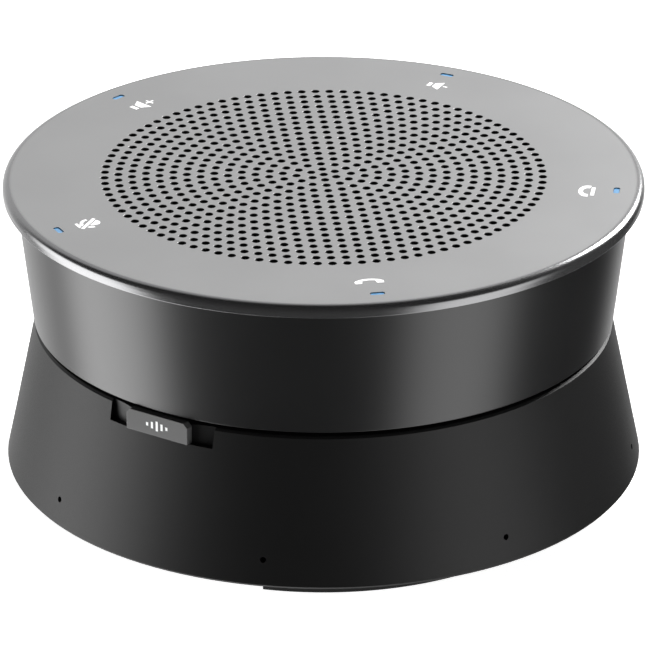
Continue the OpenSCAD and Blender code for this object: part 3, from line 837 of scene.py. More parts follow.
@dataclass(frozen=True)
class Foam(Finish):
    """Open-cell foam."""

    cell: float = 0.7
    painted_cell_shade: float = 0.3
    strut: Pair = (0.04, 0.2)
    depth: float = 0.1
    strength: float = 0.8

    def paint(self, surface: Surface) -> None:
        """Pale struts round cells darkened by painted shade.

        Args:
            surface: the graph of its material.
        """
        cells = surface.node("ShaderNodeTexVoronoi", {"feature": "DISTANCE_TO_EDGE"},
                             {"Vector": surface.place, "Scale": 1 / (self.cell * MM)})["Distance"]
        struts = 1 - cells.ramp(*self.strut)
        surface.set(
            # Painted shade: the hollow cells are darkened where shade falls in them.
            Base_Color=surface.mix(struts, self.shaded(self.painted_cell_shade), self.color),
            Roughness=struts * self.rough_more + self.roughness,
            Normal=surface.bump(struts, self.depth, self.strength),
        )


@dataclass(frozen=True)
class Foil(Finish):
    """Laminated foil pouch with soft creases."""

    rough_more: float = 0.08
    crease: float = 7.0
    crease_tint: float = 0.12
    crease_share: float = 0.8
    emboss: float = 0.5
    metallic: float = 0.7
    depth: float = 0.25
    strength: float = 0.5

    def paint(self, surface: Surface) -> None:
        """Dull metal with wide folds and a fine emboss.

        Args:
            surface: the graph of its material.
        """
        folds = surface.noise(self.crease, 3)
        emboss = surface.noise(self.emboss, 2)
        height = folds * self.crease_share + emboss * (1 - self.crease_share)
        surface.set(
            Base_Color=surface.tint(self.color, folds, self.crease_tint),
            Metallic=self.metallic,
            Roughness=self.rough(emboss),
            Normal=surface.bump(height, self.depth, self.strength),
        )


class Finishes:
    """Every finish of the speakerphone."""

    cap = SatinCap("satin_cap", "cap_paint", (0.31, 0.31, 0.312), 0.40)
    sleeve = SatinPaint("satin_black_sleeve", "shell_paint", (0.0062, 0.0062, 0.0064), 0.31)
    casing = Moulded("matte_black_casing", "base_plastic", (0.0042, 0.0042, 0.0043), 0.5, specular=0.27)
    pan = Moulded("black_pan_plastic", "pan_plastic", (0.012, 0.012, 0.012), 0.6, grain=0.3, depth=0.015)
    rubber = Moulded("black_rubber", "rubber_black", (0.009, 0.009, 0.009), 0.72, grain=0.12, depth=0.01,
                     specular=0.3)
    badge = SatinPaint("badge_black", "badge_black", (0.028, 0.028, 0.029), 0.4)
    lens = Lens("blue_light_lens", "blue_light", (0.07, 0.28, 0.55), 0.35)
    cloth = Woven("acoustic_cloth_black", "cloth_black", (0.006, 0.006, 0.006), 0.9)
    carrier = Moulded("frame_plastic_black", "frame_plastic", (0.02, 0.02, 0.02), 0.55)
    basket = Machined("basket_steel_black", "driver_steel", (0.05, 0.05, 0.05), 0.45, metallic=0.6)
    zinc = Machined("zinc_steel", "zinc_steel", (0.55, 0.55, 0.53), 0.3)
    ferrite = Moulded("ferrite_grey", "ferrite", (0.05, 0.05, 0.052), 0.6, grain=0.5, depth=0.03)
    cone = Pulp("pressed_paper", "cone_paper", (0.018, 0.018, 0.02), 0.75)
    coil = Wound("copper_windings", "copper_coil", (0.75, 0.33, 0.15), 0.35)
    spider = Woven("suspension_cloth", "spider_cloth", (0.5, 0.3, 0.1), 0.85, pitch=0.5)
    board = Laminate("board_green", "board_green", (0.008, 0.07, 0.02), 0.3)
    chip = Moulded("chip_epoxy", "chip_black", (0.015, 0.015, 0.016), 0.55, grain=0.1)
    tin = Machined("tinned_steel", "tin_steel", (0.62, 0.62, 0.6), 0.28, line=0.8)
    led = Ink("led_phosphor", "led_yellow", (0.8, 0.66, 0.2), 0.4)
    foam = Foam("foam_grey", "foam_grey", (0.12, 0.12, 0.125), 0.9)
    ribbon = FlatCable("film_cable_amber", "ribbon_amber", (0.5, 0.2, 0.03), 0.35)
    ivory = Moulded("ivory_nylon", "socket_ivory", (0.65, 0.6, 0.45), 0.45, grain=0.2)
    foil = Foil("cell_foil", "cell_foil", (0.45, 0.48, 0.52), 0.35)
    wire = Moulded("red_insulation", "wire_red", (0.4, 0.02, 0.02), 0.4, grain=0.1)
    tag = Pulp("tag_board", "tag_board", (0.32, 0.2, 0.1), 0.7)
    ink = Ink("white_ink", "badge_black", (0.86, 0.86, 0.86), 0.5)
    # Painted light: the key marks glow though no lamp lights them from behind.
    painted_glow_ink = Ink("white_ink_painted_glow", "cap_paint", (0.86, 0.86, 0.86), 0.5, glow=0.6)


# --------------------------------------------------------------- mesh workshop


def object_from(name: str, mesh: bmesh.types.BMesh) -> bpy.types.Object:
    """Makes an object at the origin from a mesh and frees the mesh.

    Args:
        name: name of the object.
        mesh: its shape, in metres.

    Returns:
        The object.
    """
    data = bpy.data.meshes.new(name)
    mesh.to_mesh(data)
    mesh.free()
    made = bpy.data.objects.new(name, data)
    bpy.context.scene.collection.objects.link(made)
    return made


def seal(piece: bpy.types.Object, distance: float = WELD) -> bpy.types.Object:
    """Merges doubles and points every face outwards.

    Args:
        piece: the piece.
        distance: how close doubles are, in metres.

    Returns:
        The piece.
    """
    mesh = bmesh.new()
    mesh.from_mesh(piece.data)
    bmesh.ops.remove_doubles(mesh, verts=mesh.verts, dist=distance)
    bmesh.ops.recalc_face_normals(mesh, faces=mesh.faces)
    mesh.to_mesh(piece.data)
    mesh.free()
    return piece


def shade(piece: bpy.types.Object, angle: float = 32.0, weighted: bool = True) -> bpy.types.Object:
    """Smooths a piece, keeping edges sharper than an angle.

    Args:
        piece: the piece.
        angle: edges sharper than this, in degrees, stay sharp.
        weighted: lets wide flat faces set the shading of narrow ones beside them.

    Returns:
        The piece.
    """
    mesh = bmesh.new()
    mesh.from_mesh(piece.data)
    for face in mesh.faces:
        face.smooth = True
    for edge in mesh.edges:
        edge.smooth = edge.is_manifold and edge.calc_face_angle(math.pi) < math.radians(angle)
    mesh.to_mesh(piece.data)
    mesh.free()
    if weighted:
        modifier = piece.modifiers.new("even_shading", "WEIGHTED_NORMAL")
        modifier.keep_sharp = True
        modifier.weight = SHADE_WEIGHT
        apply_modifiers(piece)
    return piece


def arc(centre: Pair, radius: float, start: float, end: float, steps: int) -> list[Pair]:
    """Points along an arc, ends included, angles in degrees."""
    angles = [math.radians(start + (end - start) * i / steps) for i in range(steps + 1)]
    return [(centre[0] + radius * math.cos(a), centre[1] + radius * math.sin(a)) for a in angles]


def turned(name: str, profile: Sequence[Pair], steps: int, closed: bool = True, start: float = 0.0,
           sweep: float = 360.0) -> bpy.types.Object:
    """Turns a profile round the upright axis.

    Args:
        name: name of the piece.
        profile: (radius, height) points in millimetres.
        steps: number of facets round the sweep.
        closed: whether the profile's ends meet.
        start: direction where the sweep begins, in degrees.
        sweep: angle of the sweep, in degrees.

    Returns:
        The turned piece, with end faces where the sweep is open.
    """
    mesh = bmesh.new()
    full = sweep >= 360.0
    rings = []
    for i in range(steps if full else steps + 1):
        angle = math.radians(start + sweep * i / steps)
        c, s = math.cos(angle), math.sin(angle)
        rings.append([mesh.verts.new((r * MM * c, r * MM * s, z * MM)) for r, z in profile])
    last = len(profile) if closed else len(profile) - 1
    for i in range(steps):
        here, there = rings[i], rings[(i + 1) % len(rings)]
        for j in range(last):
            k = (j + 1) % len(profile)
            mesh.faces.new((here[j], there[j], there[k], here[k]))
    if not full:
        mesh.faces.new(rings[0])
        mesh.faces.new(rings[-1][::-1])
    bmesh.ops.recalc_face_normals(mesh, faces=mesh.faces)
    return object_from(name, mesh)


def prism(mesh: bmesh.types.BMesh, outline: Sequence[Pair], low: float, high: float) -> None:
    """Adds an upright prism of an outline to a mesh, in millimetres.

    Args:
        mesh: the mesh that it is added to.
        outline: its corners in plan.
        low: height of its underside.
        high: height of its top.
    """
    bottom = [mesh.verts.new((x * MM, y * MM, low * MM)) for x, y in outline]
    top = [mesh.verts.new((x * MM, y * MM, high * MM)) for x, y in outline]
    mesh.faces.new(bottom[::-1])
    mesh.faces.new(top)
    count = len(outline)
    for i in range(count):
        j = (i + 1) % count
        mesh.faces.new((bottom[i], bottom[j], top[j], top[i]))


def copy_of(node: str, name: str) -> bpy.types.Object:
    """Makes a welded copy of a CAD node to refine.

    Args:
        node: name of the CAD node.
        name: name of the copy.

    Returns:
        The copy.
    """
    mesh = bmesh.new()
    mesh.from_mesh(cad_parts[node].data)
    bmesh.ops.remove_doubles(mesh, verts=mesh.verts, dist=WELD)
    return object_from(name, mesh)


def soften(piece: bpy.types.Object, width: float, angle: float = 40.0) -> bpy.types.Object:
    """Rounds a piece's sharp edges.

    Args:
        piece: the piece.
        width: width of the rounding, in millimetres.
        angle: edges sharper than this, in degrees, are rounded.

    Returns:
        The piece.
    """
    mesh = bmesh.new()
    mesh.from_mesh(piece.data)
    bmesh.ops.dissolve_limit(mesh, angle_limit=math.radians(FLAT), verts=mesh.verts, edges=mesh.edges)
    mesh.to_mesh(piece.data)
    mesh.free()
    modifier = piece.modifiers.new("edge_round", "BEVEL")
    modifier.width = width * MM
    modifier.segments = ROUND_STEPS
    modifier.limit_method = "ANGLE"
    modifier.angle_limit = math.radians(angle)
    modifier.use_clamp_overlap = True
    apply_modifiers(piece)
    return piece


def complete(piece: bpy.types.Object, finish: Finish, replaced: Iterable[str] = (),
             body: Body = Body.MAIN) -> bpy.types.Object:
    """Dresses a finished piece, puts it on its body and reports it.

    Args:
        piece: the piece.
        finish: its finish.
        replaced: CAD nodes that it stands for.
        body: the body that it rides on.

    Returns:
        The piece.
    """
    piece.data.materials.clear()
    piece.data.materials.append(finish.material())
    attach(piece, body.value)
    names = tuple(replaced)
    if names:
        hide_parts(*names)
    log.info("%s: %s, %d faces", piece.name, finish.name, len(piece.data.polygons))
    return piece


def dress(finish: Finish, *nodes: str) -> None:
    """Gives CAD nodes that stay in view their finish.

    Args:
        finish: the finish.
        *nodes: names of the CAD nodes.
    """
    for name in nodes:
        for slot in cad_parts[name].material_slots:
            slot.material = finish.material()
        log.info("%s: %s, as packed", name, finish.name)


# --------------------------------------------------------------- ring patterns


def ring_recipe() -> Recipe:
    """Tree that sets copies of a piece evenly round the upright axis.

    Returns:
        The tree. The input piece stands at the origin with +X outwards.
    """
    recipe = Recipe("copies_round_a_ring")
    count = recipe.size("Count", "NodeSocketInt")
    radius = recipe.size("Ring Radius")
    phase = recipe.size("Phase")
    points, turn = recipe.ring(count, radius, phase)
    recipe.close(recipe.copies(points, recipe.inputs["Geometry"], turn))
    return recipe


@dataclass
class Ring:
    """Copies of one small piece on a ring."""

    count: int
    radius: float
    phase: float

    def place(self, piece: bpy.types.Object, finish: Finish) -> bpy.types.Object:
        """Sets the piece's copies on the ring.

        Args:
            piece: one copy, at the origin with +X outwards.
            finish: its finish.

        Returns:
            The same object, with all the copies.
        """
        return ring_recipe().run(piece, {
            "Count": self.count, "Ring Radius": self.radius * MM, "Phase": math.radians(self.phase),
            "Finish": finish.material(),
        })


# --------------------------------------------------------------- sub-assemblies


@dataclass
class TopCap:
    """Perforated cap with its rolled rim, light windows and screw bosses."""

    height: float = 68.18
    plate_under: float = 66.4
    rim_under: float = 65.7
    rim_r: float = 65.0
    round_r: float = 1.5
    round_steps: int = 14
    seat_r: float = 60.8
    edge_break: float = 0.2
    break_steps: int = 4
    facets: int = 288
    rings: int = 16
    pitch: float = 2.772
    hole_d: float = 1.55
    hole_break: float = 0.11
    hole_sides: int = 16
    hole_phase: float = 9.2
    keys: int = 5
    key_phase: float = 25.3
    window_ring: float = 59.5
    window_w: float = 1.3
    window_l: float = 2.9
    window_round: float = 0.45
    window_steps: int = 6
    boss_ring: float = 54.0
    boss_r: float = 2.5
    boss_bore: float = 1.27
    boss_under: float = 62.2
    boss_facets: int = 32

    def recipe(self) -> Recipe:
        """Builds the tree of the perforated plate.

        Returns:
            The tree. Its input is the open rim; it fills the rim's upper and
            lower edges with plates that share their holes and windows.
        """
        recipe = Recipe("perforated_plate")
        rings = recipe.size("Rings", "NodeSocketInt")
        pitch = recipe.size("Pitch")
        hole_r = recipe.size("Hole Radius")
        edge = recipe.size("Hole Edge Break")
        sides = recipe.size("Hole Sides", "NodeSocketInt")
        phase = recipe.size("Phase")
        top = recipe.size("Top Height")
        under = recipe.size("Under Height")
        face_r = recipe.size("Face Radius")
        seat_r = recipe.size("Seat Radius")
        facets = recipe.size("Facets", "NodeSocketInt")
        keys = recipe.size("Windows", "NodeSocketInt")
        key_phase = recipe.size("Window Phase")
        key_ring = recipe.size("Window Ring")
        window_w = recipe.size("Window Width")
        window_l = recipe.size("Window Length")
        window_round = recipe.size("Window Round")

        # Row k holds 6 k holes round the one in the middle, so the rows up to k hold 3 k (k + 1) + 1,
        # and a hole's row follows from its number.
        number = recipe.index()
        row = ((((number * 12 + 9) ** 0.5) - 3) / 6).call("CEIL")
        along = number - (row * (row - 1) * 3 + 1)
        angle = phase + along * (math.pi / 3) / row
        distance = row * pitch
        place = recipe.vector(distance * angle.call("COSINE"), distance * angle.call("SINE"), 0.0)
        holes = recipe.points(rings * (rings + 1) * 3 + 1, place)
        spots, turn = recipe.ring(keys, key_ring, key_phase)
        box = recipe.node("GeometryNodeCurvePrimitiveQuadrilateral", {"mode": "RECTANGLE"},
                          {"Width": window_w, "Height": window_l})["Curve"]
        window = recipe.node("GeometryNodeFilletCurve", {"mode": "POLY"},
                             {"Curve": box, "Radius": window_round, "Count": self.window_steps,
                              "Limit Radius": True})[0]
        windows = recipe.copies(spots, window, turn)

        def sheet(outer: Wire, hole: Wire) -> Wire:
            """Flat plate between an outer circle and the openings.

            Args:
                outer: radius of the circle.
                hole: radius of the holes.

            Returns:
                The plate, at height zero.
            """
            edge_curve = recipe.node("GeometryNodeCurvePrimitiveCircle", {"mode": "RADIUS"},
                                     {"Resolution": facets, "Radius": outer})["Curve"]
            opening = recipe.node("GeometryNodeCurvePrimitiveCircle", {"mode": "RADIUS"},
                                  {"Resolution": sides, "Radius": hole})["Curve"]
            curves = recipe.joined(edge_curve, recipe.copies(holes, opening), windows)
            return recipe.node("GeometryNodeFillCurve", {"mode": "TRIANGLES"}, {"Curve": curves})["Mesh"]

        upper = recipe.moved(sheet(face_r, hole_r + edge), recipe.vector(0.0, 0.0, top))
        lower = recipe.moved(sheet(seat_r, hole_r), recipe.vector(0.0, 0.0, under))
        lead_in = recipe.node("GeometryNodeMeshCone", {"fill_type": "NONE"},
                              {"Vertices": sides, "Side Segments": 1, "Radius Top": hole_r + edge,
                               "Radius Bottom": hole_r, "Depth": edge})["Mesh"]
        barrel = recipe.node("GeometryNodeMeshCone", {"fill_type": "NONE"},
                             {"Vertices": sides, "Side Segments": 1, "Radius Top": hole_r,
                              "Radius Bottom": hole_r, "Depth": top - under - edge})["Mesh"]
        wall = recipe.joined(recipe.moved(lead_in, recipe.vector(0.0, 0.0, top - edge)),
                             recipe.moved(barrel, recipe.vector(0.0, 0.0, under)))
        outline = recipe.node("GeometryNodeCurveToMesh", None, {"Curve": windows})[0]
        raised = recipe.moved(outline, recipe.vector(0.0, 0.0, under))
        frame_wall = recipe.node("GeometryNodeExtrudeMesh", {"mode": "EDGES"},
                                 {"Mesh": raised, "Offset": recipe.vector(0.0, 0.0, 1.0),
                                  "Offset Scale": top - under})["Mesh"]
        walls = recipe.joined(recipe.copies(holes, wall), frame_wall)
        recipe.close(recipe.joined(recipe.inputs["Geometry"], upper, lower, walls))
        return recipe

    def build_plate(self) -> bpy.types.Object:
        """Makes the cap: a turned rim filled with the perforated plate.

        Returns:
            The cap.
        """
        face_r = self.rim_r - self.round_r
        corner = (self.rim_r - self.edge_break, self.rim_under + self.edge_break)
        profile = arc((face_r, self.height - self.round_r), self.round_r, 90, 0, self.round_steps)
        profile += arc(corner, self.edge_break, 0, -90, self.break_steps)
        profile += [(self.seat_r, self.rim_under), (self.seat_r, self.plate_under)]
        piece = turned("cap_with_grille", profile, self.facets, closed=False)
        self.recipe().run(piece, {
            "Rings": self.rings, "Pitch": self.pitch * MM, "Hole Radius": self.hole_d / 2 * MM,
            "Hole Edge Break": self.hole_break * MM, "Hole Sides": self.hole_sides,
            "Phase": math.radians(self.hole_phase), "Top Height": self.height * MM,
            "Under Height": self.plate_under * MM, "Face Radius": face_r * MM,
            "Seat Radius": self.seat_r * MM, "Facets": self.facets,
            "Windows": self.keys, "Window Phase": math.radians(self.key_phase),
            "Window Ring": self.window_ring * MM, "Window Width": self.window_w * MM,
            "Window Length": self.window_l * MM, "Window Round": self.window_round * MM,
            "Finish": Finishes.cap.material(),
        })
        return shade(seal(piece, 2 * WELD))

    def build_bosses(self) -> bpy.types.Object:
        """Makes the screw bosses under the cap.

        Returns:
            The bosses, as one piece.
        """
        profile = [(self.boss_bore, self.boss_under), (self.boss_r, self.boss_under),
                   (self.boss_r, self.plate_under), (self.boss_bore, self.plate_under)]
        boss = turned("cap_bosses", profile, self.boss_facets)
        ring = Ring(self.keys, self.boss_ring, self.key_phase + 180 / self.keys)
        return shade(ring.place(boss, Finishes.cap), weighted=False)

    def build(self) -> None:
        """Makes and dresses the cap."""
        complete(self.build_plate(), Finishes.cap, ["top_cap"])
        complete(self.build_bosses(), Finishes.cap)
        dress(Finishes.cloth, "acoustic_cloth")


@dataclass
class Lights:
    """Light guides in the cap's windows, with their lamps below."""

    ring: Ring = field(default_factory=lambda: Ring(count=5, radius=59.5, phase=25.3))
    width: float = 1.26
    length: float = 2.86
    corner: float = 0.43
    corner_steps: int = 5
    edge: float = 0.1
    top: float = 68.0
    shoulder: float = 66.39
    under: float = 65.5
    flange: float = 0.45

    def outline(self, grow: float) -> list[Pair]:
        """Rounded rectangle, grown on each side.

        Args:
            grow: growth of each side, in millimetres.

        Returns:
            The points in plan.
        """
        x, y = self.width / 2 + grow - self.corner, self.length / 2 + grow - self.corner
        return [point for quarter, centre in enumerate(((x, y), (-x, y), (-x, -y), (x, -y)))
                for point in arc(centre, self.corner, 90 * quarter, 90 * (quarter + 1), self.corner_steps)]

    def build(self) -> None:
        """Makes the lenses and dresses the lamps."""
        mesh = bmesh.new()
        levels = [(self.flange, self.under), (self.flange, self.shoulder), (0.0, self.shoulder),
                  (0.0, self.top - self.edge), (-self.edge, self.top)]
        rings = [[mesh.verts.new((x * MM, y * MM, z * MM)) for x, y in self.outline(grow)]
                 for grow, z in levels]
        count = len(rings[0])
        for low, high in zip(rings, rings[1:]):
            for i in range(count):
                j = (i + 1) % count
                mesh.faces.new((low[i], low[j], high[j], high[i]))
        mesh.faces.new(rings[0][::-1])
        mesh.faces.new(rings[-1])
        lens = self.ring.place(object_from("light_lenses", mesh), Finishes.lens)
        complete(shade(lens, angle=50), Finishes.lens, ["light_guides"])
        dress(Finishes.led, "touch_leds")


@dataclass
class KeyMarks:
    """White marks printed beside the touch keys."""

    ring_r: float = 53.2
    phase: float = 25.3
    step: float = 72.0
    face: float = 68.18
    ink: float = 0.02
    sink: float = 0.01

    def hold(self) -> list[list[Pair]]:
        """Open ring with an upright bar.

        Returns:
            The outlines, in millimetres, with +Y up.
        """
        outer = [(x * 0.62, y) for x, y in arc((0, 0), 2.75, 90, 270, 24)]
        inner = [(x * 0.62, y) for x, y in arc((0.2, 0), 1.5, 270, 90, 20)]
        bow = [(0.75, 2.75)] + outer + [(0.45, -2.75), (0.35, -1.5)] + inner + [(0.5, 1.5)]
        bar = [(0.85, -2.1), (1.6, -2.1), (1.6, 2.0), (0.85, 2.0)]
        return [bow, bar]

    def speaker(self) -> list[list[Pair]]:
        """Horn with its driver bar.

        Returns:
            The outlines, in millimetres, with +Y up.
        """
        bar = [(-2.55, -1.0), (-1.65, -1.0), (-1.65, 1.0), (-2.55, 1.0)]
        horn = [(-1.1, -0.95), (0.75, -2.15), (0.75, 2.15), (-1.1, 0.95)]
        return [bar, horn]

    def softer(self) -> list[list[Pair]]:
        """Horn with a minus."""
        return self.speaker() + [[(1.25, -0.24), (2.3, -0.24), (2.3, 0.24), (1.25, 0.24)]]

    def louder(self) -> list[list[Pair]]:
        """Horn with a plus.

        Returns:
            The outlines, in millimetres, with +Y up.
        """
        a, b, c = 0.2, 1.05, 2.3
        plus = [(c - a, -b), (c + a, -b), (c + a, -a), (c + b, -a), (c + b, a), (c + a, a),
                (c + a, b), (c - a, b), (c - a, a), (c - b, a), (c - b, -a), (c - a, -a)]
        return self.speaker() + [plus]

    def mute(self) -> list[list[Pair]]:
        """Microphone on its stand, parted by a slash.

        Returns:
            The outlines, in millimetres, with +Y up.
        """
        capsule = arc((0, 1.5), 1.35, 0, 180, 12) + arc((0, 0.9), 1.35, 180, 360, 12)
        holder = arc((0, 0.6), 2.5, 180, 360, 18) + arc((0, 0.6), 1.75, 360, 180, 18)
        stand = [(-0.4, -2.2), (-0.4, -1.6), (0.4, -1.6), (0.4, -2.2)]
        foot = [(-1.3, -2.85), (1.3, -2.85), (1.3, -2.2), (-1.3, -2.2)]
        start, end, half, gap = Vector((1.95, -2.4)), Vector((-2.05, 2.4)), 0.4, 0.35
        side = (end - start).normalized().orthogonal()
        parts = []
        for shape in (capsule, holder, stand, foot):
            for sign in (1, -1):
                parts.append(clip(shape, start + side * sign * (half + gap), side * sign))
        slash = [tuple(p + side * s * half) for p, s in ((start, 1), (end, 1), (end, -1), (start, -1))]
        return [part for part in parts if len(part) > 2] + [slash]

    def call(self) -> list[list[Pair]]:
        """Handset seen from the side.

        Returns:
            The outlines, in millimetres, with +Y up.
        """
        bow = arc((0, -3.4), 4.5, 130, 50, 18)
        right = [(3.0, -0.35), (2.9, -1.15), (1.5, -1.0), (1.4, -0.2)]
        under = arc((0, -3.4), 3.75, 68, 112, 12)
        left = [(-x, y) for x, y in reversed(right)]
        return [bow + right + under + left]

    def placed(self, outline: Sequence[Pair], angle: float, facing: Facing, shift: Pair,
               scale: float) -> list[Pair]:
        """Puts a mark's outline at its key.

        Args:
            outline: points with +Y up.
            angle: direction of the key, in degrees.
            facing: which way its top points.
            shift: how far it stands to the right and up from the key ring.
            scale: size of the mark against its outline.

        Returns:
            The points in plan.
        """
        outward = Vector((math.cos(math.radians(angle)), math.sin(math.radians(angle))))
        around = Vector((-outward.y, outward.x))
        right, up = {Facing.OUTWARD: (-around, outward), Facing.INWARD: (around, -outward),
                     Facing.ROUND: (outward, around)}[facing]
        middle = outward * self.ring_r + right * shift[0] + up * shift[1]
        return [tuple(middle + (right * x + up * y) * scale) for x, y in outline]

    def build(self) -> None:
        """Prints the marks, each as one piece of thin, raised ink with a painted glow."""
        marks = {
            KeyMark.HOLD: (self.hold, Facing.ROUND, (0.4, -1.15), 1.0),
            KeyMark.SOFTER: (self.softer, Facing.OUTWARD, (0.85, 0.0), 0.92),
            KeyMark.LOUDER: (self.louder, Facing.OUTWARD, (0.3, -0.3), 1.0),
            KeyMark.MUTE: (self.mute, Facing.INWARD, (0.0, 0.25), 0.88),
            KeyMark.CALL: (self.call, Facing.INWARD, (-0.6, -0.3), 0.97),
        }
        for number, (mark, (shape, facing, shift, scale)) in enumerate(marks.items()):
            mesh = bmesh.new()
            for outline in shape():
                plan = self.placed(outline, self.phase + self.step * number, facing, shift, scale)
                prism(mesh, plan, self.face - self.sink, self.face + self.ink)
            bmesh.ops.recalc_face_normals(mesh, faces=mesh.faces)
            bmesh.ops.triangulate(mesh, faces=mesh.faces)
            complete(object_from(f"mark_{mark.value}", mesh), Finishes.painted_glow_ink)


def clip(outline: Sequence[Pair], point: Vector, normal: Vector) -> list[Pair]:
    """Keeps the part of an outline on one side of a line.

    Args:
        outline: the points.
        point: a point on the line.
        normal: direction of the side that is kept.

    Returns:
        The kept outline, empty if nothing is left.
    """
    kept: list[Pair] = []
    for here, there in zip(outline, list(outline[1:]) + [outline[0]]):
        a = (Vector(here) - point).dot(normal)
        b = (Vector(there) - point).dot(normal)
        if a >= 0:
            kept.append(tuple(here))
        if (a > 0 > b) or (a < 0 < b):
            kept.append(tuple(Vector(here).lerp(Vector(there), a / (a - b))))
    return kept


@dataclass
class Cone:
    """Tapered outer face between two heights."""

    low: float
    low_r: float
    high: float
    high_r: float

    def radius(self, z: float) -> float:
        """Radius at a height."""
        return self.low_r + (self.high_r - self.low_r) * (z - self.low) / (self.high - self.low)

    def true_normals(self, piece: bpy.types.Object, tolerance: float = 0.12,
                     aligned: float = 0.985) -> bpy.types.Object:
        """Gives the faces on the taper its exact normals, so that its sheen is even.

        Args:
            piece: the piece with a tapered face.
            tolerance: how far a face's middle may be from the taper, in millimetres.
            aligned: least cosine between a face's normal and the taper's.

        Returns:
            The piece.
        """
        mesh = piece.data
        slope = (self.high_r - self.low_r) / (self.high - self.low)
        normals: list[Triple] = [(0.0, 0.0, 0.0)] * len(mesh.loops)
        for face in mesh.polygons:
            mid = face.center / MM
            outward = Vector((mid.x, mid.y, 0)).normalized()
            exact = Vector((outward.x, outward.y, -slope)).normalized()
            if abs(mid.xy.length - self.radius(mid.z)) > tolerance or face.normal.dot(exact) < aligned:
                continue
            for loop in face.loop_indices:
                spot = mesh.vertices[mesh.loops[loop].vertex_index].co
                outward = Vector((spot.x, spot.y, 0)).normalized()
                normals[loop] = tuple(Vector((outward.x, outward.y, -slope)).normalized())
        mesh.normals_split_custom_set(normals)
        return piece


@dataclass
class Sleeve:
    """Satin upper shell with its flange and gasket."""

    taper: Cone = field(default_factory=lambda: Cone(low=38.5, low_r=59.3, high=65.7, high_r=62.4))
    wall: float = 1.6
    flange_r: float = 51.0
    flange_t: float = 2.2
    edge: float = 0.4
    edge_end: float = -6.0
    edge_steps: int = 6
    facets: int = 288

    def build(self) -> None:
        """Turns the sleeve and dresses the gasket below it."""
        low, high = self.taper.low, self.taper.high
        flange = low + self.flange_t
        corner = (self.taper.radius(low) - self.edge, low + self.edge)
        rim = arc(corner, self.edge, -90, self.edge_end, self.edge_steps)
        profile = [(self.flange_r, low)] + rim + [
            (self.taper.high_r, high), (self.taper.high_r - self.wall, high),
            (self.taper.radius(flange) - self.wall, flange), (self.flange_r, flange),
        ]
        complete(shade(turned("satin_sleeve", profile, self.facets)), Finishes.sleeve, ["upper_shell"])
        dress(Finishes.rubber, "waist_gasket")


@dataclass
class Casing:
    """Matte base casing with its microphones behind the ports."""

    taper: Cone = field(default_factory=lambda: Cone(low=7.2, low_r=65.3, high=37.5, high_r=59.0))

    def build(self) -> None:
        """Refines the casing and dresses the microphones."""
        piece = shade(copy_of("lower_shell", "base_casing"), weighted=False)
        complete(self.taper.true_normals(piece), Finishes.casing, ["lower_shell"])
        dress(Finishes.rubber, "mic_gaskets")
        dress(Finishes.board, "mic_boards")
        dress(Finishes.tin, "mic_capsules")
        dress(Finishes.ribbon, "mic_ribbons")


@dataclass
class Badge:
    """Plate in the recess, with a row of plain level bars."""

    edge: float = 0.14
    bar_w: float = 0.5
    bar_pitch: float = 1.15
    bar_heights: tuple[float, ...] = (0.7, 1.4, 2.1, 1.4, 0.7)
    ink: float = 0.02
    sink: float = 0.01

    def build(self) -> None:
        """Rounds the plate's edges and prints the bars."""
        plate = soften(copy_of("badge_plate", "badge_plate_softened"), self.edge)
        complete(shade(plate), Finishes.badge, ["badge_plate"])
        low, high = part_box("badge_plate")
        face, middle = low.y / MM, (low.z + high.z) / 2 / MM
        mesh = bmesh.new()
        first = -(len(self.bar_heights) - 1) / 2
        for i, height in enumerate(self.bar_heights):
            left = (first + i) * self.bar_pitch - self.bar_w / 2
            right, up = left + self.bar_w, height / 2
            prism(mesh, [(left, -up), (right, -up), (right, up), (left, up)], 0, self.ink + self.sink)
        place = Matrix.Translation((0, (face + self.sink) * MM, middle * MM))
        bmesh.ops.transform(mesh, matrix=place @ Matrix.Rotation(math.pi / 2, 4, "X"), verts=mesh.verts)
        bmesh.ops.recalc_face_normals(mesh, faces=mesh.faces)
        complete(object_from("badge_level_bars", mesh), Finishes.ink)


@dataclass
class Foot:
    """Rubber ring under the pedestal, open at the cable way."""

    outer: float = 52.6
    inner: float = 45.6
    height: float = 1.2
    edge: float = 0.35
    edge_steps: int = 5
    groove_half: float = 1.0
    groove_floor_half: float = 0.7
    groove_depth: float = 0.25
    opening: float = 39.8
    facets: int = 256

    def build(self) -> None:
        """Turns the ring with rounded edges and a shallow groove in its sole."""
        edge, steps = self.edge, self.edge_steps
        profile = [(self.inner, self.height)] + arc((self.inner + edge, edge), edge, 180, 270, steps)
        middle = (self.inner + self.outer) / 2
        profile += [(middle - self.groove_half, 0.0), (middle - self.groove_floor_half, self.groove_depth),
                    (middle + self.groove_floor_half, self.groove_depth), (middle + self.groove_half, 0.0)]
        profile += arc((self.outer - edge, edge), edge, -90, 0, steps) + [(self.outer, self.height)]
        start = -90 + self.opening / 2
        piece = turned("foot_ring", profile, self.facets, start=start, sweep=360 - self.opening)
        complete(shade(piece), Finishes.rubber, ["rubber_foot"])


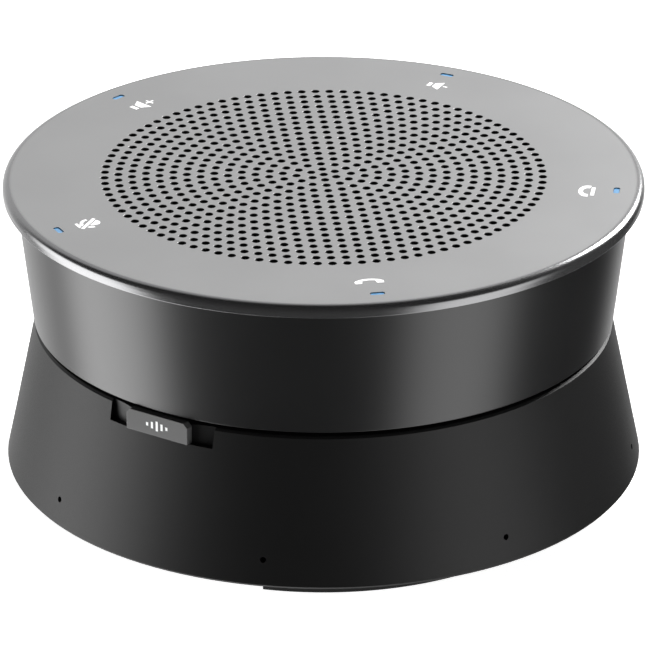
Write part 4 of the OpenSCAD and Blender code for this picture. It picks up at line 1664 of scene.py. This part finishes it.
@dataclass
class Screws:
    """A ring of screws made from one turned blank.

    Each screw is driven upwards, its head below. The seat is the height of the
    face that the head bears on, or of a countersunk head's open face.
    """

    name: str
    node: str
    ring: Ring
    seat: float
    head_r: float
    head_h: float
    shank_r: float
    length: float
    countersunk: bool = False
    recess_r: float = 0.9
    recess_depth: float = 0.9
    recess_corners: int = 6
    head_edge: float = 0.2
    tip: float = 0.4
    tip_share: float = 0.7
    sides: int = 24

    def blank(self) -> bpy.types.Object:
        """Makes one screw on the upright axis, tip up, with a hexagon socket in its head.

        Returns:
            The screw.
        """
        if self.countersunk:
            head = self.seat
            outline = [(self.head_r, head), (self.shank_r, head + self.head_h)]
        else:
            head = self.seat - self.head_h
            outline = [(self.head_r - self.head_edge, head), (self.head_r, head + self.head_edge),
                       (self.head_r, self.seat), (self.shank_r, self.seat)]
        end = self.seat + self.length
        outline += [(self.shank_r, end - self.tip), (self.shank_r * self.tip_share, end)]
        mesh = bmesh.new()

        def loop(radius: float, z: float, corners: int = 0) -> list[bmesh.types.BMVert]:
            """Adds a ring of vertices, on a circle or on a polygon.

            Args:
                radius: radius of the circle, or to the corners of the polygon.
                z: height.
                corners: corners of the polygon, or none for a circle.

            Returns:
                The vertices.
            """
            verts = []
            for i in range(self.sides):
                angle = math.tau * i / self.sides
                r = radius
                if corners:
                    part = math.tau / corners
                    r = radius * math.cos(part / 2) / math.cos((angle % part) - part / 2)
                verts.append(mesh.verts.new((r * math.cos(angle) * MM, r * math.sin(angle) * MM, z * MM)))
            return verts

        rings = [loop(self.recess_r, head + self.recess_depth, self.recess_corners),
                 loop(self.recess_r, head, self.recess_corners)]
        rings += [loop(radius, z) for radius, z in outline]
        for low, high in zip(rings, rings[1:]):
            for i in range(self.sides):
                j = (i + 1) % self.sides
                mesh.faces.new((low[i], low[j], high[j], high[i]))
        mesh.faces.new(rings[0])
        mesh.faces.new(rings[-1])
        bmesh.ops.recalc_face_normals(mesh, faces=mesh.faces)
        return object_from(self.name, mesh)

    def build(self) -> None:
        """Sets the screws in their ring."""
        piece = self.ring.place(self.blank(), Finishes.zinc)
        complete(shade(piece, weighted=False), Finishes.zinc, [self.node])


@dataclass
class Driver:
    """Loudspeaker with a surround and a suspension that flex with the cone."""

    flange_z: float = 60.0
    cone_r: float = 32.0
    lap: float = 1.8
    roll_mid: float = 35.8
    roll_r: float = 2.8
    roll_end: float = 8.0
    roll_steps: int = 20
    skin: float = 0.5
    land: float = 0.4
    land_r: float = 41.0
    coil_r: float = 12.52
    magnet_r: float = 27.5
    spider_z: float = 44.0
    spider_rise: float = 0.9
    spider_wave: float = 0.7
    spider_pitch: float = 3.0
    spider_fade: float = 2.2
    spider_t: float = 0.4
    spider_land: float = 1.5
    spider_steps: int = 48
    facets: int = 128

    def surround(self) -> bpy.types.Object:
        """Turns the half roll with its two lands.

        Returns:
            The surround.
        """
        z, top = self.flange_z, self.flange_z + self.land
        outer = arc((self.roll_mid, z), self.roll_r, 180 - self.roll_end, self.roll_end, self.roll_steps)
        inner = arc((self.roll_mid, z), self.roll_r - self.skin, 0, 180, self.roll_steps)
        start = self.cone_r - self.lap
        profile = [(start, top)] + outer + [(self.land_r, top), (self.land_r, z)] + inner + [(start, z)]
        return shade(turned("rubber_surround", profile, self.facets))

    def spider(self) -> bpy.types.Object:
        """Turns the corrugated suspension, whose waves fade out before its outer edge.

        Returns:
            The suspension.
        """
        under = []
        for i in range(self.spider_steps + 1):
            u = i / self.spider_steps
            r = self.coil_r + (self.magnet_r - self.coil_r) * u
            fade = math.sin(math.radians(90 * min(1.0, (1 - u) * self.spider_fade + 0.001)))
            wave = self.spider_wave * math.sin(math.tau * (r - self.coil_r) / self.spider_pitch) * fade
            under.append((r, self.spider_z + self.spider_rise + wave - self.spider_rise * u ** 3))
        profile = under + [(r, z + self.spider_t) for r, z in reversed(under)]
        return shade(turned("cloth_suspension", profile, self.facets))

    def flex(self, piece: bpy.types.Object, inner: float, outer: float, finish: Finish, node: str) -> None:
        """Lets a ring follow the cone at its inner edge and the body at its outer edge.

        Args:
            piece: the ring.
            inner: radius inside which it moves with the cone.
            outer: radius outside which it stays with the body.
            finish: its finish.
            node: the CAD node that it stands for.
        """
        piece.data.materials.clear()
        piece.data.materials.append(finish.material())
        z = self.flange_z * MM
        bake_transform(piece, Body.MAIN.value, Body.CONE.value, start=(outer * MM, 0, z), end=(inner * MM, 0, z))
        for vertex, weight in zip(piece.data.vertices, piece.data.attributes["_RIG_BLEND"].data):
            share = min(1.0, max(0.0, (outer - vertex.co.xy.length / MM) / (outer - inner)))
            weight.value = share * share * (3 - 2 * share)
        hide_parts(node)
        log.info("%s: %s, flexes with the cone", piece.name, finish.name)

    def build(self) -> None:
        """Makes the flexing rings and dresses the rest."""
        self.flex(self.surround(), self.roll_mid - self.roll_r, self.roll_mid + self.roll_r,
                  Finishes.rubber, "driver_surround")
        self.flex(self.spider(), self.coil_r + self.spider_land, self.magnet_r - self.spider_land,
                  Finishes.spider, "driver_spider")
        dress(Finishes.cone, "driver_cone", "dust_cap")
        dress(Finishes.coil, "voice_coil")
        dress(Finishes.basket, "driver_basket")
        dress(Finishes.zinc, "front_pole_plate", "pole_yoke")
        dress(Finishes.ferrite, "driver_magnet")
        dress(Finishes.foam, "driver_gasket")
        dress(Finishes.tag, "driver_terminals")
        dress(Finishes.wire, "speaker_leads")
        dress(Finishes.rubber, "lead_grommet")
        dress(Finishes.carrier, "driver_chamber", "top_carrier")


@dataclass
class Insides:
    """Boards, battery and what holds them."""

    screw_sets: tuple[Screws, ...] = (
        Screws("cap_screw_set", "cap_screws", Ring(count=5, radius=54.0, phase=61.3), seat=58.6,
               head_r=2.2, head_h=1.6, shank_r=1.25, length=7.0),
        Screws("driver_screw_set", "driver_screws", Ring(count=4, radius=43.4, phase=45.0), seat=58.8,
               head_r=2.2, head_h=1.6, shank_r=1.25, length=4.3),
        Screws("waist_screw_set", "waist_screws", Ring(count=4, radius=54.2, phase=35.0), seat=35.3,
               head_r=2.7, head_h=2.0, shank_r=1.5, length=11.9, recess_r=1.05),
    )

    def build(self) -> None:
        """Dresses the inside, with its screws."""
        for screws in self.screw_sets:
            screws.build()
        dress(Finishes.board, "touch_board", "main_board", "port_board")
        dress(Finishes.tin, "touch_pads", "shield_cans", "battery_strap")
        dress(Finishes.chip, "board_chips")
        dress(Finishes.zinc, "board_capacitors", "board_screws", "strap_screws", "port_screws")
        dress(Finishes.ivory, "board_sockets")
        dress(Finishes.ribbon, "touch_ribbon", "port_ribbon")
        dress(Finishes.foam, "battery_pad")
        dress(Finishes.foil, "battery_pack")
        dress(Finishes.wire, "battery_leads")


@dataclass
class Underside:
    """Base pan with the cable way, its sockets, the key and the base screws."""

    screws: Screws = field(default_factory=lambda: Screws(
        "base_screw_set", "base_screws", Ring(count=4, radius=57.0, phase=45.0), seat=7.5,
        head_r=2.7, head_h=1.25, shank_r=1.5, length=9.5, countersunk=True, recess_r=1.1,
        recess_depth=0.8))
    edge: float = 0.12

    def build(self) -> None:
        """Refines the pan, the key and the sockets, and sets the screws."""
        pan = shade(copy_of("base_plate", "base_pan"), angle=30, weighted=False)
        complete(pan, Finishes.pan, ["base_plate"])
        self.screws.build()
        key = shade(soften(copy_of("power_key", "power_key_cap"), self.edge))
        complete(key, Finishes.badge, ["power_key"], Body.KEY)
        jack = shade(copy_of("audio_jack", "audio_jack_body"), weighted=False)
        complete(jack, Finishes.chip, ["audio_jack"])
        socket = shade(copy_of("usb_socket", "usb_socket_shell"), weighted=False)
        complete(socket, Finishes.tin, ["usb_socket"])
        dress(Finishes.chip, "power_switch")


# ---------------------------------------------------------------------- studio


@dataclass(frozen=True)
class Panel:
    """Bright part of the studio surround, by direction from the object.

    Directions are in degrees from the front of the camera, positive to its right.
    """

    direction: float
    half_width: float
    softness: float
    low: float
    high: float
    strength: float


@dataclass
class Studio:
    """Pale floor, soft surround, one soft light from behind and the camera."""

    azimuth: float = 33.2
    camera_place: Triple = (0.5901, -0.9013, 0.5275)
    forward: Triple = (-0.4979, 0.7609, -0.4160)
    upward: Triple = (-0.2278, 0.3481, 0.9093)
    lens: float = 320.25
    sensor: float = 36.0
    reach: float = 20.0
    ambient: float = 0.042
    panels: tuple[Panel, ...] = (
        Panel(direction=56, half_width=18, softness=12, low=-90, high=16, strength=2.9),
        Panel(direction=-93, half_width=20, softness=12, low=-90, high=14, strength=5.3),
        Panel(direction=192, half_width=37, softness=16, low=-90, high=62, strength=1.13),
    )
    end_fade: float = 0.12
    floor_half: float = 4.0
    floor_parts: int = 8
    floor_color: Triple = (0.8, 0.8, 0.8)
    floor_roughness: float = 0.9
    floor_glow: float = 0.95
    light_place: Triple = (0.105, 0.607, 0.40)
    light_aim: Triple = (0.0, 0.0, 0.04)
    light_size: float = 0.3
    light_power: float = 9.0

    def set_camera(self) -> None:
        """Places the camera."""
        data = bpy.data.cameras.new("view_camera")
        data.sensor_width = self.sensor
        data.lens = self.lens
        data.clip_end = self.reach
        camera = bpy.data.objects.new("view_camera", data)
        bpy.context.scene.collection.objects.link(camera)
        back = -Vector(self.forward).normalized()
        right = Vector(self.upward).cross(back).normalized()
        up = back.cross(right)
        turn = Matrix((right, up, back)).transposed().to_4x4()
        camera.matrix_world = Matrix.Translation(self.camera_place) @ turn
        bpy.context.scene.camera = camera

    def set_surround(self) -> None:
        """Writes the studio surround as a world."""
        world = bpy.data.worlds.new("studio_surround")
        world.use_nodes = True
        bpy.context.scene.world = world
        graph = Graph(world.node_tree)
        heading = graph.node("ShaderNodeTexCoord")["Generated"]
        split = graph.node("ShaderNodeSeparateXYZ", None, {0: heading})
        x, y, z = split[0], split[1], split[2]
        flat = (x * x + y * y) ** 0.5 + 1e-5  # Above zero straight up and down.
        total: Any = self.ambient
        for panel in self.panels:
            angle = math.radians(self.azimuth - 90 + panel.direction)
            toward = (x * math.cos(angle) + y * math.sin(angle)) / flat
            edge = math.cos(math.radians(panel.half_width + panel.softness))
            core = math.cos(math.radians(max(0, panel.half_width - panel.softness)))
            level = toward.ramp(edge, core) * panel.strength
            low, high = math.sin(math.radians(panel.low)), math.sin(math.radians(panel.high))
            # A panel that reaches straight up or down has no edge there.
            if panel.high < 90:
                level = level * z.ramp(high - self.end_fade, high + self.end_fade, 1.0, 0.0)
            if panel.low > -90:
                level = level * z.ramp(low - self.end_fade, low + self.end_fade)
            total = level + total
        seen = graph.node("ShaderNodeLightPath")["Is Camera Ray"]
        strength = seen + (1 - seen) * total
        shown = graph.node("ShaderNodeBackground", None, {"Color": (1.0, 1.0, 1.0), "Strength": strength})
        graph.node("ShaderNodeOutputWorld", None, {"Surface": shown[0]})

    def set_floor(self) -> None:
        """Lays the floor, lit evenly so that it stays pale."""
        mesh = bmesh.new()
        bmesh.ops.create_grid(mesh, x_segments=self.floor_parts, y_segments=self.floor_parts,
                              size=self.floor_half)
        floor = object_from("studio_floor", mesh)
        surface = Surface("pale_floor")
        surface.set(Base_Color=self.floor_color, Roughness=self.floor_roughness,
                    Emission_Color=(1.0, 1.0, 1.0), Emission_Strength=self.floor_glow)
        floor.data.materials.append(surface.material)
        floor.visible_glossy = False
        floor.visible_shadow = False

    def add_light(self) -> None:
        """Hangs a square soft light behind the speakerphone, pointed at it."""
        data = bpy.data.lights.new("soft_back_light", "AREA")
        data.size = self.light_size
        data.energy = self.light_power
        light = bpy.data.objects.new("soft_back_light", data)
        turn = (Vector(self.light_place) - Vector(self.light_aim)).to_track_quat("Z", "Y")
        light.matrix_world = Matrix.Translation(self.light_place) @ turn.to_matrix().to_4x4()
        bpy.context.scene.collection.objects.link(light)

    def build(self) -> None:
        """Sets up the whole studio."""
        bpy.context.scene.view_settings.view_transform = "Standard"
        self.set_camera()
        self.set_surround()
        self.set_floor()
        self.add_light()


def main() -> None:
    """Builds the speakerphone and its studio."""
    logging.basicConfig(level=logging.INFO, format="%(name)s: %(message)s")
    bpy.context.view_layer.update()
    for part in (Studio(), TopCap(), Lights(), KeyMarks(), Sleeve(), Casing(), Badge(), Driver(), Insides(),
                 Underside(), Foot()):
        part.build()


if __name__ == "__main__":
    main()
